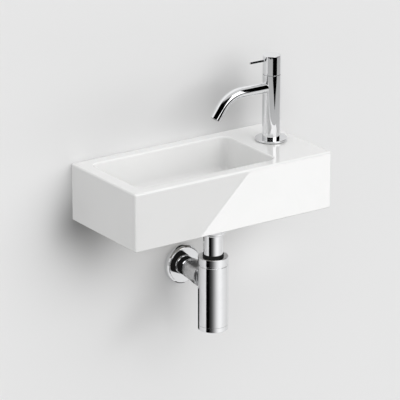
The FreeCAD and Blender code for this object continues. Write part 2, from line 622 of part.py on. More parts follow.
def outlet():
    line = {"side": "drain_x", "up": "outlet_z", "turn": TO_WALL}
    body_face = "drain_y + trap_radius"
    spigot_end = f"{body_face} + spigot_long"
    ring("outlet_seal", "spigot_radius", "pipe_radius", "outlet_seal_long", out=spigot_end, **line)

    # Tapered compression nut from the trap's side to the pipe.
    shoulder_at = "spigot_long + outlet_seal_long - cone_gap"
    turned("outlet_nut", [
        ("spigot_radius + thread_play", "0"), ("cone_start_dia/2", "0"), ("cone_end_dia/2", "cone_long"),
        ("pipe_radius + thread_play", "cone_long"), ("pipe_radius + thread_play", shoulder_at),
        ("spigot_radius + thread_play", shoulder_at)], out=f"{body_face} + cone_gap", **line)

    pipe_from = f"{spigot_end} - wall_pipe_in"
    pipe_in = "pipe_radius - pipe_wall"
    turned("wall_pipe", [
        (pipe_in, pipe_from), ("pipe_radius", pipe_from), ("pipe_radius", "mark_past"),
        ("pipe_radius - mark_deep", "mark_past"), ("pipe_radius - mark_deep", "mark_past + mark_wide"),
        ("pipe_radius", "mark_past + mark_wide"), ("pipe_radius", "wall_pipe_past"),
        (pipe_in, "wall_pipe_past")], **line)

    # Wall flange: a shallow cup whose face dishes in to a lip round the pipe.
    lip_in = "pipe_radius + flange_play"
    dish = "flange_dish - flange_deep"
    turned("wall_flange", [
        (lip_in, "-flange_deep"), (f"{lip_in} + flange_lip", "-flange_deep"),
        (f"{lip_in} + flange_lip", dish), ("flange_dia/2 - flange_round", "-flange_deep"),
        ("flange_dia/2", "flange_round - flange_deep"), ("flange_dia/2", "0"),
        ("flange_dia/2 - flange_wall", "0"), ("flange_dia/2 - flange_wall", f"{dish} + flange_wall"),
        (lip_in, f"{dish} + flange_wall")], out="0", **line)


def tap():
    spot = {"side": "tap_x", "out": "tap_y"}
    ring("tap_base_gasket", "base_dia/2 - base_chamfer", "shank_radius + shank_play", "base_gasket",
         up="rim_z", **spot)
    base = ring("tap_base_ring", "base_dia/2", "shank_radius + shank_play", "base_thick",
                up="rim_z + base_gasket", **spot)
    dress(base, "Chamfer", ring_at("base_dia/2", "base_thick"), "base_chamfer")

    # Column: cartridge bore and gland thread from above, water way and shank socket from below.
    cavity = "cartridge_radius + cartridge_play"
    gland_bore = "gland_radius + gland_play"
    column = turned("tap_body", [
        ("shank_radius", "base_top"), ("tap_radius", "base_top"), ("tap_radius", "column_top"),
        (gland_bore, "column_top"), (gland_bore, "cartridge_top"), (cavity, "cartridge_top"),
        (cavity, "cartridge_low"), ("water_bore/2", "cartridge_low"),
        ("water_bore/2", "base_top + shank_in"), ("shank_radius", "base_top + shank_in")],
        up="rim_z", **spot)
    socket = new_sketch(column, "YZ_Plane", "spout_in - tap_radius")
    draw_circle(socket, "spout_radius", "0", "spout_rise")
    pocket(column, socket, "spout_in + 1")
    port = new_sketch(column, "YZ_Plane", "-cartridge_radius/2")
    draw_circle(port, "port_dia/2", "0", "spout_rise")
    pocket(column, port, "tap_radius")

    # Spout: a tube along the wall side, turned down over the bowl.
    spout = new_body("tap_spout")
    path = new_sketch(spout, "XZ_Plane")
    turn = "spout_turn*1 deg"
    bend_x = f"-spout_run - spout_bend*sin({turn})"
    bend_z = f"-spout_bend*(1 - cos({turn}))"
    end_x = f"{bend_x} - spout_end*cos({turn})"
    end_z = f"{bend_z} - spout_end*sin({turn})"
    knee = FreeCAD.Vector(number(bend_x), number(bend_z), 0)
    start = FreeCAD.Vector(number("spout_in - tap_radius"), 0, 0)
    bend_start = FreeCAD.Vector(-number("spout_run"), 0, 0)
    half = f"spout_turn*0.5 deg"
    middle = FreeCAD.Vector(number(f"-spout_run - spout_bend*sin({half})"),
                            number(f"-spout_bend*(1 - cos({half}))"), 0)
    path.addGeometry(Part.LineSegment(start, bend_start), False)
    path.addGeometry(Part.Arc(bend_start, middle, knee), False)
    path.addGeometry(Part.LineSegment(knee, FreeCAD.Vector(number(end_x), number(end_z), 0)), False)
    near, far = (1, 2) if path.Geometry[1].StartPoint.distanceToPoint(bend_start) < NEAR else (2, 1)
    path.addConstraint(Sketcher.Constraint("Tangent", 0, 2, 1, near))
    path.addConstraint(Sketcher.Constraint("Tangent", 1, far, 2, 1))
    fix_radius(path, 1, "spout_bend")
    fix_point(path, 0, 1, "spout_in - tap_radius", "0")
    fix_point(path, 0, 2, "-spout_run", "0")
    fix_point(path, 2, 2, end_x, end_z)
    section = new_sketch(spout, "YZ_Plane", "spout_in - tap_radius")
    draw_circle(section, "spout_radius")
    draw_circle(section, "spout_radius - spout_wall")
    doc.recompute()
    tube = spout.newObject("PartDesign::AdditivePipe", "tap_spout_tube")
    tube.Profile = section
    tube.Spine = (path, ["Edge1", "Edge2", "Edge3"])
    settle(tube)
    place(spout, "tap_x", "tap_y", "rim_z + spout_rise")

    # Aerator in the spout's mouth, its own Z along the water.
    aerator_out = "spout_radius - spout_wall"
    aerator = turned("tap_aerator", [
        ("0", "aerator_plate - aerator_in"), (f"{aerator_out} - aerator_wall", "aerator_plate - aerator_in"),
        (f"{aerator_out} - aerator_wall", "aerator_out"), (aerator_out, "aerator_out"),
        (aerator_out, "-aerator_in"), ("0", "-aerator_in")])
    hole = new_sketch(aerator)
    draw_circle(hole, "aerator_hole/2", "aerator_circle/2", "0")
    cut = pocket(aerator, hole, "aerator_in + 1")
    repeat_round(aerator, cut, "aerator_holes")
    lean = FreeCAD.Rotation(FreeCAD.Vector(0, -1, 0), number("90 + spout_turn"))
    place(aerator, f"tap_x + {end_x}", "tap_y", f"rim_z + spout_rise + {end_z}", lean)
    tie(aerator, "Placement.Rotation.Angle", "(90 + spout_turn)*1 deg")

    # Ceramic-disc cartridge, its gland nut and the spindle that the handle turns.
    stem_bore = "spindle_radius + spindle_play"
    turned("tap_cartridge", [
        ("0", "cartridge_low"), ("cartridge_radius", "cartridge_low"), ("cartridge_radius", "cartridge_top"),
        (stem_bore, "cartridge_top"), (stem_bore, "spindle_low - spindle_play"),
        ("0", "spindle_low - spindle_play")], up="rim_z", **spot)
    ring("tap_gland_nut", "gland_radius", stem_bore, "gland_tall",
         up="rim_z + cartridge_top", **spot)
    turned("tap_spindle", [("0", "spindle_low"), ("spindle_radius", "spindle_low"),
                           ("spindle_radius", "spindle_top"), ("0", "spindle_top")], up="rim_z", **spot)

    # Handle: a cap of the column's own diameter, hollow over the gland, solid round the spindle.
    handle = turned("tap_handle", [
        ("handle_bore/2", "skirt_top"), ("tap_radius", "skirt_top"), ("tap_radius", "tap_tall"), ("0", "tap_tall"),
        ("0", "spindle_top"), ("spindle_radius", "spindle_top"), ("spindle_radius", "handle_roof"),
        ("handle_bore/2", "handle_roof")], up="rim_z", **spot)
    dress(handle, "Fillet", ring_at("tap_radius", "tap_tall"), "top_edge")
    lever_hole = new_sketch(handle, "YZ_Plane", "lever_in - tap_radius")
    draw_circle(lever_hole, "lever_dia/2", "0", "lever_rise")
    pocket(handle, lever_hole, "lever_in + 1")
    screw_hole = new_sketch(handle, "YZ_Plane", "spindle_radius")
    draw_circle(screw_hole, "screw_dia/2", "0", "screw_rise")
    pocket(handle, screw_hole, "tap_radius", back=True)

    lever = new_body("tap_lever")
    sketch = new_sketch(lever, "YZ_Plane", "lever_in - tap_radius")
    draw_circle(sketch, "lever_dia/2")
    pad(lever, sketch, "lever_reach + lever_in - tap_radius", back=True)
    tip = number("-lever_reach")
    dress(lever, "Fillet", lambda edge: abs(edge.BoundBox.XMax - tip) < NEAR, "lever_end")
    place(lever, "tap_x", "tap_y", "rim_z + lever_rise")

    screw = new_body("handle_screw")
    sketch = new_sketch(screw, "YZ_Plane", "spindle_radius")
    draw_circle(sketch, "screw_dia/2")
    pad(screw, sketch, "tap_radius - spindle_radius - screw_in")
    place(screw, "tap_x", "tap_y", "rim_z + screw_rise")

    # Threaded shank through the deck, with its washers and back nut.
    shank_top = "base_top + shank_in"
    turned("tap_shank", [
        ("water_bore/2", "-shank_reach"), ("inlet_dia/2", "-shank_reach"),
        ("inlet_dia/2", "inlet_long - shank_reach"), ("shank_radius", "inlet_long - shank_reach"),
        ("shank_radius", shank_top), ("water_bore/2", shank_top)], up="rim_z", **spot)
    under = "rim_z - deck_thick - deck_washer"
    ring("tap_deck_washer", "deck_washer_dia/2", "shank_radius + shank_play", "deck_washer", up=under, **spot)
    ring("tap_plate_washer", "deck_washer_dia/2 - 1", "shank_radius + shank_play", "plate_washer",
         up=f"{under} - plate_washer", **spot)
    hex_nut("tap_back_nut", "tap_nut_wide", "tap_nut_tall", "shank_radius + thread_play",
            "tap_x", "tap_y", f"{under} - plate_washer - tap_nut_tall")


def wall_fixings():
    # Each piece's own Z runs into the wall from the face that the next piece bears on.
    stud = turned("wall_stud_one", [
        ("0", "0"), ("stud_dia/2", "0"), ("stud_dia/2", "stud_in"), ("screw_end_dia/2", "stud_in"),
        ("screw_end_dia/2", "stud_in + stud_past - stud_tip"),
        ("screw_end_dia/4", "stud_in + stud_past"), ("0", "stud_in + stud_past")])
    fixing_pair("wall_studs", stud, "-stud_in")
    barrel = "fixing_bore/2 - sleeve_play"
    core = "stud_dia/2 + stud_play"
    sleeve = turned("wall_sleeve_one", [
        (core, "0"), ("sleeve_flange_dia/2", "0"), ("sleeve_flange_dia/2", "sleeve_flange"),
        (barrel, "sleeve_flange"), (barrel, "sleeve_flange + skirt_wall"),
        (core, "sleeve_flange + skirt_wall")])
    fixing_pair("wall_sleeves", sleeve, "-skirt_wall - sleeve_flange")
    washer = ring("wall_washer_one", "fixing_washer_dia/2", core, "fixing_washer")
    fixing_pair("wall_washers", washer, "-skirt_wall - sleeve_flange - fixing_washer")
    nut = hex_nut("wall_nut_one", "fixing_nut_wide", "fixing_nut_tall", core, "0", "0", "0")
    fixing_pair("wall_nuts", nut, "-skirt_wall - sleeve_flange - fixing_washer - fixing_nut_tall")


basin()
waste()
tail()
trap()
outlet()
tap()
wall_fixings()
doc.recompute()

for item in doc.Objects:
    if {"Invalid", "Error"} & set(item.State):
        raise RuntimeError(f"{item.Label} failed")
for item in pieces:
    if item.Shape.isNull() or not item.Shape.isValid() or item.Shape.Volume <= 0:
        raise RuntimeError(f"{item.Label} has no valid solid")
os.makedirs("parts", exist_ok=True)
for item in pieces:
    item.Shape.exportStep(f"parts/{item.Label}.step")
    print(f"{item.Label}: {len(item.Shape.Solids)} solid, {item.Shape.Volume:.0f} mm3")
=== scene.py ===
import math

import bmesh
import bpy
import numpy as np
from mathutils import Matrix, Vector
from mathutils.geometry import tessellate_polygon


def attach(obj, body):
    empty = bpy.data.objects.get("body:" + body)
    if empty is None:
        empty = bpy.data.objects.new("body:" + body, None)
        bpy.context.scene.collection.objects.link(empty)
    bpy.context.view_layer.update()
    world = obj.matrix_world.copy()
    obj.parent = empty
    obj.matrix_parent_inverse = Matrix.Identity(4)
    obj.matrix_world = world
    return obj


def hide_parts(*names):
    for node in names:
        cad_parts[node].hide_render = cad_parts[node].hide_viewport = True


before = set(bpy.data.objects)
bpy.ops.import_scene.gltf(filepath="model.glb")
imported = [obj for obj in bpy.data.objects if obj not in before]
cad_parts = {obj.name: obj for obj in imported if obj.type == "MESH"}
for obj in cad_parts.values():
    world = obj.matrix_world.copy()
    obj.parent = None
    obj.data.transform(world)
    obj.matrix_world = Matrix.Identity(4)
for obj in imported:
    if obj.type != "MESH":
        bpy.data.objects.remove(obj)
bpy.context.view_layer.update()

scene = bpy.context.scene
print("frame loaded:", len(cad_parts), "nodes")

# Sizes below are millimetres in the frame of the CAD model; meshes are written in metres.
mm = 0.001
rim = 82.0
roundCrease = 34  # edges sharper than this many degrees stay hard
threadCrease = 60
tapSpot = (145.0, -82.0)
drainSpot = (21.0, -95.0)
outletLevel = -133.0

photoView = {"azimuth": -34.3353, "elevation": 19.3803, "place": (-2.4461, -3.6686, 1.5327),
             "lens": 255.42, "sensor": 36.0, "farthest": 50.0}


# The camera stands at its place and looks down the photo's azimuth and elevation.
def setCamera():
    turn, rise = math.radians(photoView["azimuth"]), math.radians(photoView["elevation"])
    backward = Vector((math.sin(turn) * math.cos(rise), -math.cos(turn) * math.cos(rise), math.sin(rise)))
    right = Vector((0, 0, 1)).cross(backward).normalized()
    up = backward.cross(right)
    camera = bpy.data.objects.new("photoCamera", bpy.data.cameras.new("photoCamera"))
    camera.data.lens = photoView["lens"]
    camera.data.sensor_width = photoView["sensor"]
    camera.data.sensor_fit = "HORIZONTAL"
    camera.data.clip_end = photoView["farthest"]
    facing = Matrix((right, up, backward)).transposed().to_4x4()
    camera.matrix_world = Matrix.Translation(photoView["place"]) @ facing
    scene.collection.objects.link(camera)
    scene.camera = camera


setCamera()
print("camera set")


# Surfaces

# Joins a grid of points (rows, columns, 3) into four-sided faces, each from point (row, column) to the next
# ones in row and column, closed across rows or columns where asked.
def gridPart(points, wrapRows=False, wrapColumns=True):
    rows, columns = points.shape[:2]
    index = np.arange(rows * columns).reshape(rows, columns)
    if wrapRows:
        index = np.vstack([index, index[:1]])
    if wrapColumns:
        index = np.hstack([index, index[:, :1]])
    faces = np.stack([index[:-1, :-1], index[:-1, 1:], index[1:, 1:], index[1:, :-1]], -1).reshape(-1, 4)
    return points.reshape(-1, 3), faces


# Fills a flat outline and its holes with triangles; keep names the two axes that lie in the plane.
def flatPart(loops, keep=(0, 1)):
    flat = [[(point[keep[0]], point[keep[1]]) for point in loop] for loop in loops]
    return np.concatenate(loops), np.array(tessellate_polygon(flat))


# An outline through (across, along, rounding) corners. Each corner's arc has its centre on the bisector,
# rounding / sin(half angle) from the corner, and runs between the points where it touches the two sides.
def softOutline(corners, closed=True, steps=6):
    spots = np.array([corner[:2] for corner in corners], float)
    count = len(spots)
    runs = []
    for index, corner in enumerate(corners):
        size = corner[2] if len(corner) > 2 else 0
        if not size or (not closed and index in (0, count - 1)):
            runs.append(spots[index:index + 1])
            continue
        toLast = spots[index - 1] - spots[index]
        toNext = spots[(index + 1) % count] - spots[index]
        toLast, toNext = toLast / np.linalg.norm(toLast), toNext / np.linalg.norm(toNext)
        half = math.acos(np.clip(toLast @ toNext, -1, 1)) / 2
        middle = (toLast + toNext) / np.linalg.norm(toLast + toNext)
        centre = spots[index] + middle * size / math.sin(half)
        first = spots[index] + toLast * size / math.tan(half) - centre
        last = spots[index] + toNext * size / math.tan(half) - centre
        start = math.atan2(first[1], first[0])
        sweep = (math.atan2(last[1], last[0]) - start + math.pi) % (2 * math.pi) - math.pi
        angles = start + sweep * np.linspace(0, 1, steps + 1)
        runs.append(centre + size * np.stack([np.cos(angles), np.sin(angles)], 1))
    return np.concatenate(runs)


# Points round a line, one for each angle a: across = radius cos a, over = radius sin a, in the axis's order.
def spinPoints(radius, along, angles, centre, axis):
    across, over, along = radius * np.cos(angles), radius * np.sin(angles), along + 0 * angles
    order = {"x": (along, across, over), "y": (across, along, over), "z": (across, over, along)}[axis]
    return np.stack(order, -1) + np.array(centre, float)


# Spins an outline of (radius, height) round a line.
def turnedPart(outline, centre, axis="z", columns=96, closed=True):
    angles = np.arange(columns) * 2 * np.pi / columns
    return gridPart(spinPoints(outline[:, :1], outline[:, 1:], angles, centre, axis), wrapRows=closed)


# A screw thread: radius = outer - depth * (1 - ridge * fade) - lead * (1 - fade). Ridge, of height / pitch -
# angle / full turn, rises and falls evenly with a flattened crest; fade goes to 0 in one pitch at each end.
def threadPart(centre, axis, low, high, outer, depth, pitch, columns=40, perPitch=8, lead=0.24):
    height = np.linspace(low, high, int((high - low) / pitch * perPitch))[:, None]
    angles = np.arange(columns) * 2 * np.pi / columns
    phase = (height / pitch - angles / (2 * np.pi)) % 1
    ridge = np.clip(1.25 - np.abs(phase * 2 - 1) * 1.5, 0, 1)
    fade = np.clip(np.minimum(height - low, high - height) / pitch, 0, 1)
    radius = outer - depth * (1 - ridge * fade) - lead * (1 - fade)
    points = spinPoints(radius, height, angles, centre, axis)
    ends = [np.repeat(points[end].mean(0)[None, None], columns, 1) for end in (0, -1)]
    return gridPart(np.concatenate([ends[0], points, ends[1]]))


# Carries an outline of (radius, distance) along a bent centre line:
# point = line(distance) + radius (cos a * normal + sin a * sideways).
def carriedPart(outline, line, normals, sideways, reach, columns=72):
    angles = np.arange(columns) * 2 * np.pi / columns
    spots = np.stack([np.interp(outline[:, 1], reach, line[:, k]) for k in range(3)], 1)
    leans = np.stack([np.interp(outline[:, 1], reach, normals[:, k]) for k in range(3)], 1)
    leans /= np.linalg.norm(leans, axis=1)[:, None]
    across, over = np.cos(angles)[:, None], np.sin(angles)[:, None]
    ring = across * leans[:, None] + over * np.array(sideways)
    return gridPart(spots[:, None] + outline[:, 0][:, None, None] * ring, wrapRows=True)


# Pushes a flat (across, along) outline through from one side to the other and closes both ends.
def prismPart(outline, low, high, place):
    ends = [place(outline, level) for level in (low, high)]
    verts, faces = gridPart(np.stack(ends))
    count = len(outline)
    fill = np.array(tessellate_polygon([[tuple(spot) for spot in outline]]))
    return verts, faces, fill, fill + count


# A mesh in metres from points in millimetres, with doubles merged and faces turned outwards.
def cleanMesh(name, points, faces, finishes=(), numbers=None, merge=2e-6):
    mesh = bpy.data.meshes.new(name)
    mesh.from_pydata((points * mm).tolist(), [], faces)
    for finish in finishes:
        mesh.materials.append(finish)
    if numbers:
        mesh.polygons.foreach_set("material_index", numbers)
    work = bmesh.new()
    work.from_mesh(mesh)
    bmesh.ops.remove_doubles(work, verts=work.verts, dist=merge)
    bmesh.ops.recalc_face_normals(work, faces=work.faces)
    work.to_mesh(mesh)
    work.free()
    return mesh


# One object from parts of (points, faces, finish number), with smooth rounds and edges past crease sharp.
def makePiece(name, parts, finishes, body, nodes, crease=roundCrease):
    points, faces, numbers, start = [], [], [], 0
    for verts, *lists, number in parts:
        points.append(verts)
        for group in lists:
            faces += (group + start).tolist()
            numbers += [number] * len(group)
        start += len(verts)
    mesh = cleanMesh(name, np.concatenate(points), faces, finishes, numbers)
    mesh.shade_smooth()
    mesh.set_sharp_from_angle(angle=math.radians(crease))
    piece = bpy.data.objects.new(name, mesh)
    scene.collection.objects.link(piece)
    piece.modifiers.new("evenShading", "WEIGHTED_NORMAL").keep_sharp = True
    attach(piece, body)
    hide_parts(*nodes)
    return piece


# A piece spun in one go from the (radius, height, rounding) corners of its outline.
def turnedPiece(name, corners, finish, node, centre, body="basin_set", axis="z", columns=96, closed=True,
                steps=6):
    part = turnedPart(softOutline(corners, closed, steps), centre, axis, columns, closed)
    return makePiece(name, [part + (0,)], [finish], body, [node])


# All the pieces of one dictionary, spun round the same line.
def turnedPieces(pieces, centre, axis="z"):
    return {name: turnedPiece(name, centre=centre, axis=axis, **sizes) for name, sizes in pieces.items()}


# Finishes

# An empty node group with inputs of (name, kind, value) and plain outputs.
def newGroup(name, inputs, outputs):
    tree = bpy.data.node_groups.new(name, "ShaderNodeTree")
    for label, kind, value in inputs:
        socket = tree.interface.new_socket(label, in_out="INPUT", socket_type="NodeSocket" + kind)
        if value is not None:
            socket.default_value = value
    for label in outputs:
        tree.interface.new_socket(label, in_out="OUTPUT", socket_type="NodeSocketFloat")
    return tree, tree.nodes.new("NodeGroupInput"), tree.nodes.new("NodeGroupOutput")


# Links sources to the inputs of a node; a whole node as a source stands for its first output.
def joinLinks(tree, node, links):
    for target, source in links:
        tree.links.new(source.outputs[0] if hasattr(source, "outputs") else source, node.inputs[target])


# A shader node: in_ settings are the values of inputs, with _ for a space, and the others its own settings.
def addNode(tree, kind, links=(), **settings):
    node = tree.nodes.new("ShaderNode" + kind)
    for key, value in settings.items():
        if key.startswith("in_"):
            label = key[3:].replace("_", " ")
            node.inputs[int(label) if label.isdigit() else label].default_value = value
        else:
            setattr(node, key, value)
    joinLinks(tree, node, links)
    return node


# One step of arithmetic on nodes, sockets or plain numbers with a point.
def addMath(tree, operation, *values):
    links = [(place, value) for place, value in enumerate(values) if not isinstance(value, float)]
    numbers = {"in_" + str(place): value for place, value in enumerate(values) if isinstance(value, float)}
    return addNode(tree, "Math", links, operation=operation, **numbers)


# Fine lines left by a lathe: stretched noise that changes only along the piece's axis.
def latheLinesGroup():
    inputs = [("Along", "Float", None), ("Lines per metre", "Float", 4000.0)]
    tree, enter, leave = newGroup("latheLines", inputs, ["Height", "Mask"])
    scaled = addMath(tree, "MULTIPLY", enter.outputs["Along"], enter.outputs["Lines per metre"])
    noise = addNode(tree, "TexNoise", [("W", scaled)], noise_dimensions="1D", in_Scale=1.0, in_Detail=3.0,
                    in_Roughness=0.7)
    mask = addNode(tree, "MapRange", [("Value", noise)], in_From_Min=0.35, in_From_Max=0.65)
    joinLinks(tree, leave, [("Height", noise), ("Mask", mask)])
    return tree


# Slow unevenness plus fine grain, as in poured glaze, moulded plastic or polished plate.
def unevenGroup():
    inputs = [("Vector", "Vector", None), ("Slow scale", "Float", 20.0), ("Fine scale", "Float", 900.0),
              ("Fine share", "Float", 0.2)]
    tree, enter, leave = newGroup("unevenSurface", inputs, ["Height"])
    spot = ("Vector", enter.outputs["Vector"])
    slow = addNode(tree, "TexNoise", [spot, ("Scale", enter.outputs["Slow scale"])], in_Detail=2.0,
                   in_Roughness=0.45)
    fine = addNode(tree, "TexNoise", [spot, ("Scale", enter.outputs["Fine scale"])], in_Detail=3.0,
                   in_Roughness=0.6)
    share = addMath(tree, "MULTIPLY", fine, enter.outputs["Fine share"])
    joinLinks(tree, leave, [("Height", addMath(tree, "ADD", slow, share))])
    return tree


# Faint patches where a surface has been handled or has dried unevenly.
def patchesGroup():
    inputs = [("Vector", "Vector", None), ("Scale", "Float", 45.0), ("From", "Float", 0.45),
              ("To", "Float", 0.75)]
    tree, enter, leave = newGroup("dryPatches", inputs, ["Mask"])
    links = [(label, enter.outputs[label]) for label in ("Vector", "Scale")]
    noise = addNode(tree, "TexNoise", links, in_Detail=5.0, in_Roughness=0.62, in_Distortion=0.6)
    links = [("Value", noise), ("From Min", enter.outputs["From"]), ("From Max", enter.outputs["To"])]
    mask = addNode(tree, "MapRange", links, interpolation_type="SMOOTHSTEP")
    joinLinks(tree, leave, [("Mask", mask)])
    return tree


latheLines, unevenSurface, dryPatches = latheLinesGroup(), unevenGroup(), patchesGroup()


# First + (second - first) * mask, for two colours; between does the same for two values. Inputs 6 and 7 and
# output 2 of a Mix node are its colours.
def mixColours(tree, mask, first, second):
    mix = addNode(tree, "Mix", [("Factor", mask)], data_type="RGBA", in_6=first + (1,), in_7=second + (1,))
    return mix.outputs[2]


def between(tree, mask, low, high):
    return addNode(tree, "MapRange", [("Value", mask)], in_To_Min=low, in_To_Max=high)


# A finish: two tones and two roughnesses mixed by patches, and a bump of slow and fine unevenness,
# with lathe lines added along one axis for turned pieces.
def newFinish(name, tones, roughness, metallic=0.0, slow=20.0, fine=900.0, share=0.2, bump=0.00002,
              patchScale=45.0, lines=None, lineBump=0.0, lineRough=0.03, axis="Z", ior=1.5):
    material = bpy.data.materials.new(name)
    material.use_nodes = True
    tree = material.node_tree
    shader = tree.nodes["Principled BSDF"]
    shader.inputs["Metallic"].default_value = metallic
    shader.inputs["IOR"].default_value = ior
    spot = addNode(tree, "TexCoord").outputs["Object"]
    patches = addNode(tree, "Group", [("Vector", spot)], node_tree=dryPatches, in_Scale=patchScale)
    uneven = addNode(tree, "Group", [("Vector", spot)], node_tree=unevenSurface, in_Slow_scale=slow,
                     in_Fine_scale=fine, in_Fine_share=share)
    rough = between(tree, patches, *roughness)
    relief = addNode(tree, "Bump", [("Height", uneven)], in_Distance=bump)
    if lines:
        along = addNode(tree, "SeparateXYZ", [(0, spot)]).outputs[axis]
        turned = addNode(tree, "Group", [("Along", along)], node_tree=latheLines, in_Lines_per_metre=lines)
        relief = addNode(tree, "Bump", [("Height", turned), ("Normal", relief)], in_Distance=lineBump)
        rough = addMath(tree, "MULTIPLY_ADD", turned.outputs["Mask"], lineRough, rough)
    joinLinks(tree, shader, [("Base Color", mixColours(tree, patches, *tones)), ("Roughness", rough),
                             ("Normal", relief)])
    return material


glaze = newFinish("whiteGlaze", ((0.84, 0.84, 0.835), (0.825, 0.827, 0.82)), (0.03, 0.05), slow=9.0,
    fine=420.0, share=0.02, bump=0.00006, patchScale=14.0)
bareClay = newFinish("bareClay", ((0.70, 0.69, 0.66), (0.60, 0.59, 0.55)), (0.7, 0.85), slow=60.0,
    fine=1600.0, share=0.5, bump=0.0002, patchScale=60.0)
chrome = newFinish("polishedChrome", ((0.83, 0.835, 0.845), (0.81, 0.815, 0.825)), (0.025, 0.05),
    metallic=1.0, slow=26.0, fine=700.0, share=0.01, bump=0.000004, patchScale=60.0)
turnedChrome = newFinish("turnedChrome", ((0.83, 0.835, 0.845), (0.80, 0.805, 0.815)), (0.05, 0.08),
    metallic=1.0, slow=30.0, fine=800.0, share=0.01, bump=0.000004, lines=2600.0, lineBump=0.000003)
satinChrome = newFinish("satinChrome", ((0.72, 0.72, 0.725), (0.63, 0.63, 0.635)), (0.26, 0.34),
    metallic=1.0, slow=40.0, fine=1500.0, share=0.1, bump=0.00001, lines=1300.0, lineBump=0.00004, axis="Y")
brass = newFinish("turnedBrass", ((0.72, 0.55, 0.27), (0.60, 0.44, 0.20)), (0.22, 0.36), metallic=1.0,
    slow=60.0, fine=1500.0, share=0.2, bump=0.00001, lines=1800.0, lineBump=0.00002)
zincSteel = newFinish("zincPlate", ((0.62, 0.63, 0.65), (0.50, 0.51, 0.52)), (0.25, 0.42), metallic=1.0,
    slow=120.0, fine=2200.0, share=0.3, bump=0.00001, patchScale=150.0)
blackRubber = newFinish("blackRubber", ((0.006, 0.006, 0.006), (0.016, 0.016, 0.016)), (0.5, 0.7),
    slow=90.0, fine=2500.0, share=0.4, bump=0.00003, ior=1.3)
whitePlastic = newFinish("whitePlastic", ((0.80, 0.80, 0.78), (0.74, 0.74, 0.72)), (0.35, 0.5), slow=60.0,
    fine=1800.0, share=0.3, bump=0.00002)
greyPlastic = newFinish("greyPlastic", ((0.16, 0.16, 0.17), (0.11, 0.11, 0.12)), (0.35, 0.5), slow=80.0,
    fine=1800.0, share=0.3, bump=0.00002)
print("finishes made")


# Basin

basinSizes = {
    "left": -190, "right": 190, "front": -188, "back": 0, "base": -14, "corner": 3, "topRound": 3.5,
    "footRound": 2, "bowl": (-167, 95, -166, -22), "bowlCorner": 14, "bowlProfile":
    [(-20, 0), (0, 0, 3), (4, -56, 8), (12, -56)], "pan": 104, "panCorner": 46, "panLevel": 20,
    "bay": (-180, 180, -178, -10), "bayCorner": 8, "roof": 12, "deckBay": 103, "deckRoof": 70,
    "tapHole": 17.5, "boltHole": 6.5, "boltSpots": (-140, 140), "leastCorner": 0.25, "leastBowl": 3,
    "wasteHole": [(60, 20), (38, 20, 1), (38, 15, 0.6), (31, 15, 0.8), (31, 1, 0.6), (25, 1, 0.8),
                  (25, -5, 1), (42, -5, 1.5), (42, 12)], "glazedRows": 22,
    "arcSteps": 8, "edgeSteps": 8, "bowlSteps": (12, 16), "floorSteps": 16}


# The same loop at another level.
def levelAt(loop, level):
    return np.column_stack([loop[:, :2], np.full(len(loop), float(level))])


# A rectangle with round corners, counterclockwise from the front right one: each corner is a quarter circle
# of arcSteps steps, each side is sideSteps even steps, so loops of any size match point for point.
def boxLoop(left, right, front, back, corner, level, arcSteps=basinSizes["arcSteps"], sideSteps=1):
    quarter = np.linspace(-np.pi / 2, 0, arcSteps + 1)
    centres = [(right - corner, front + corner), (right - corner, back - corner),
               (left + corner, back - corner), (left + corner, front + corner)]
    turns = [quarter + k * np.pi / 2 for k in range(4)]
    arcs = [np.array(centre) + corner * np.stack([np.cos(turn), np.sin(turn)], 1)
            for centre, turn in zip(centres, turns)]
    runs = []
    for k, arc in enumerate(arcs):
        share = np.linspace(0, 1, sideSteps + 1)[1:-1, None]
        runs += [arc, arc[-1] * (1 - share) + arcs[(k + 1) % 4][0] * share]
    return levelAt(np.concatenate(runs), level)


# A circle across the given axis: first = centre + radius cos a, second = centre + radius sin a.
def circleLoop(centre, radius, level, count=64, axis="z"):
    middle = (*centre, 0) if axis == "z" else (centre[0], 0, centre[1])
    return spinPoints(radius, float(level), np.arange(count) * 2 * np.pi / count, middle, axis)


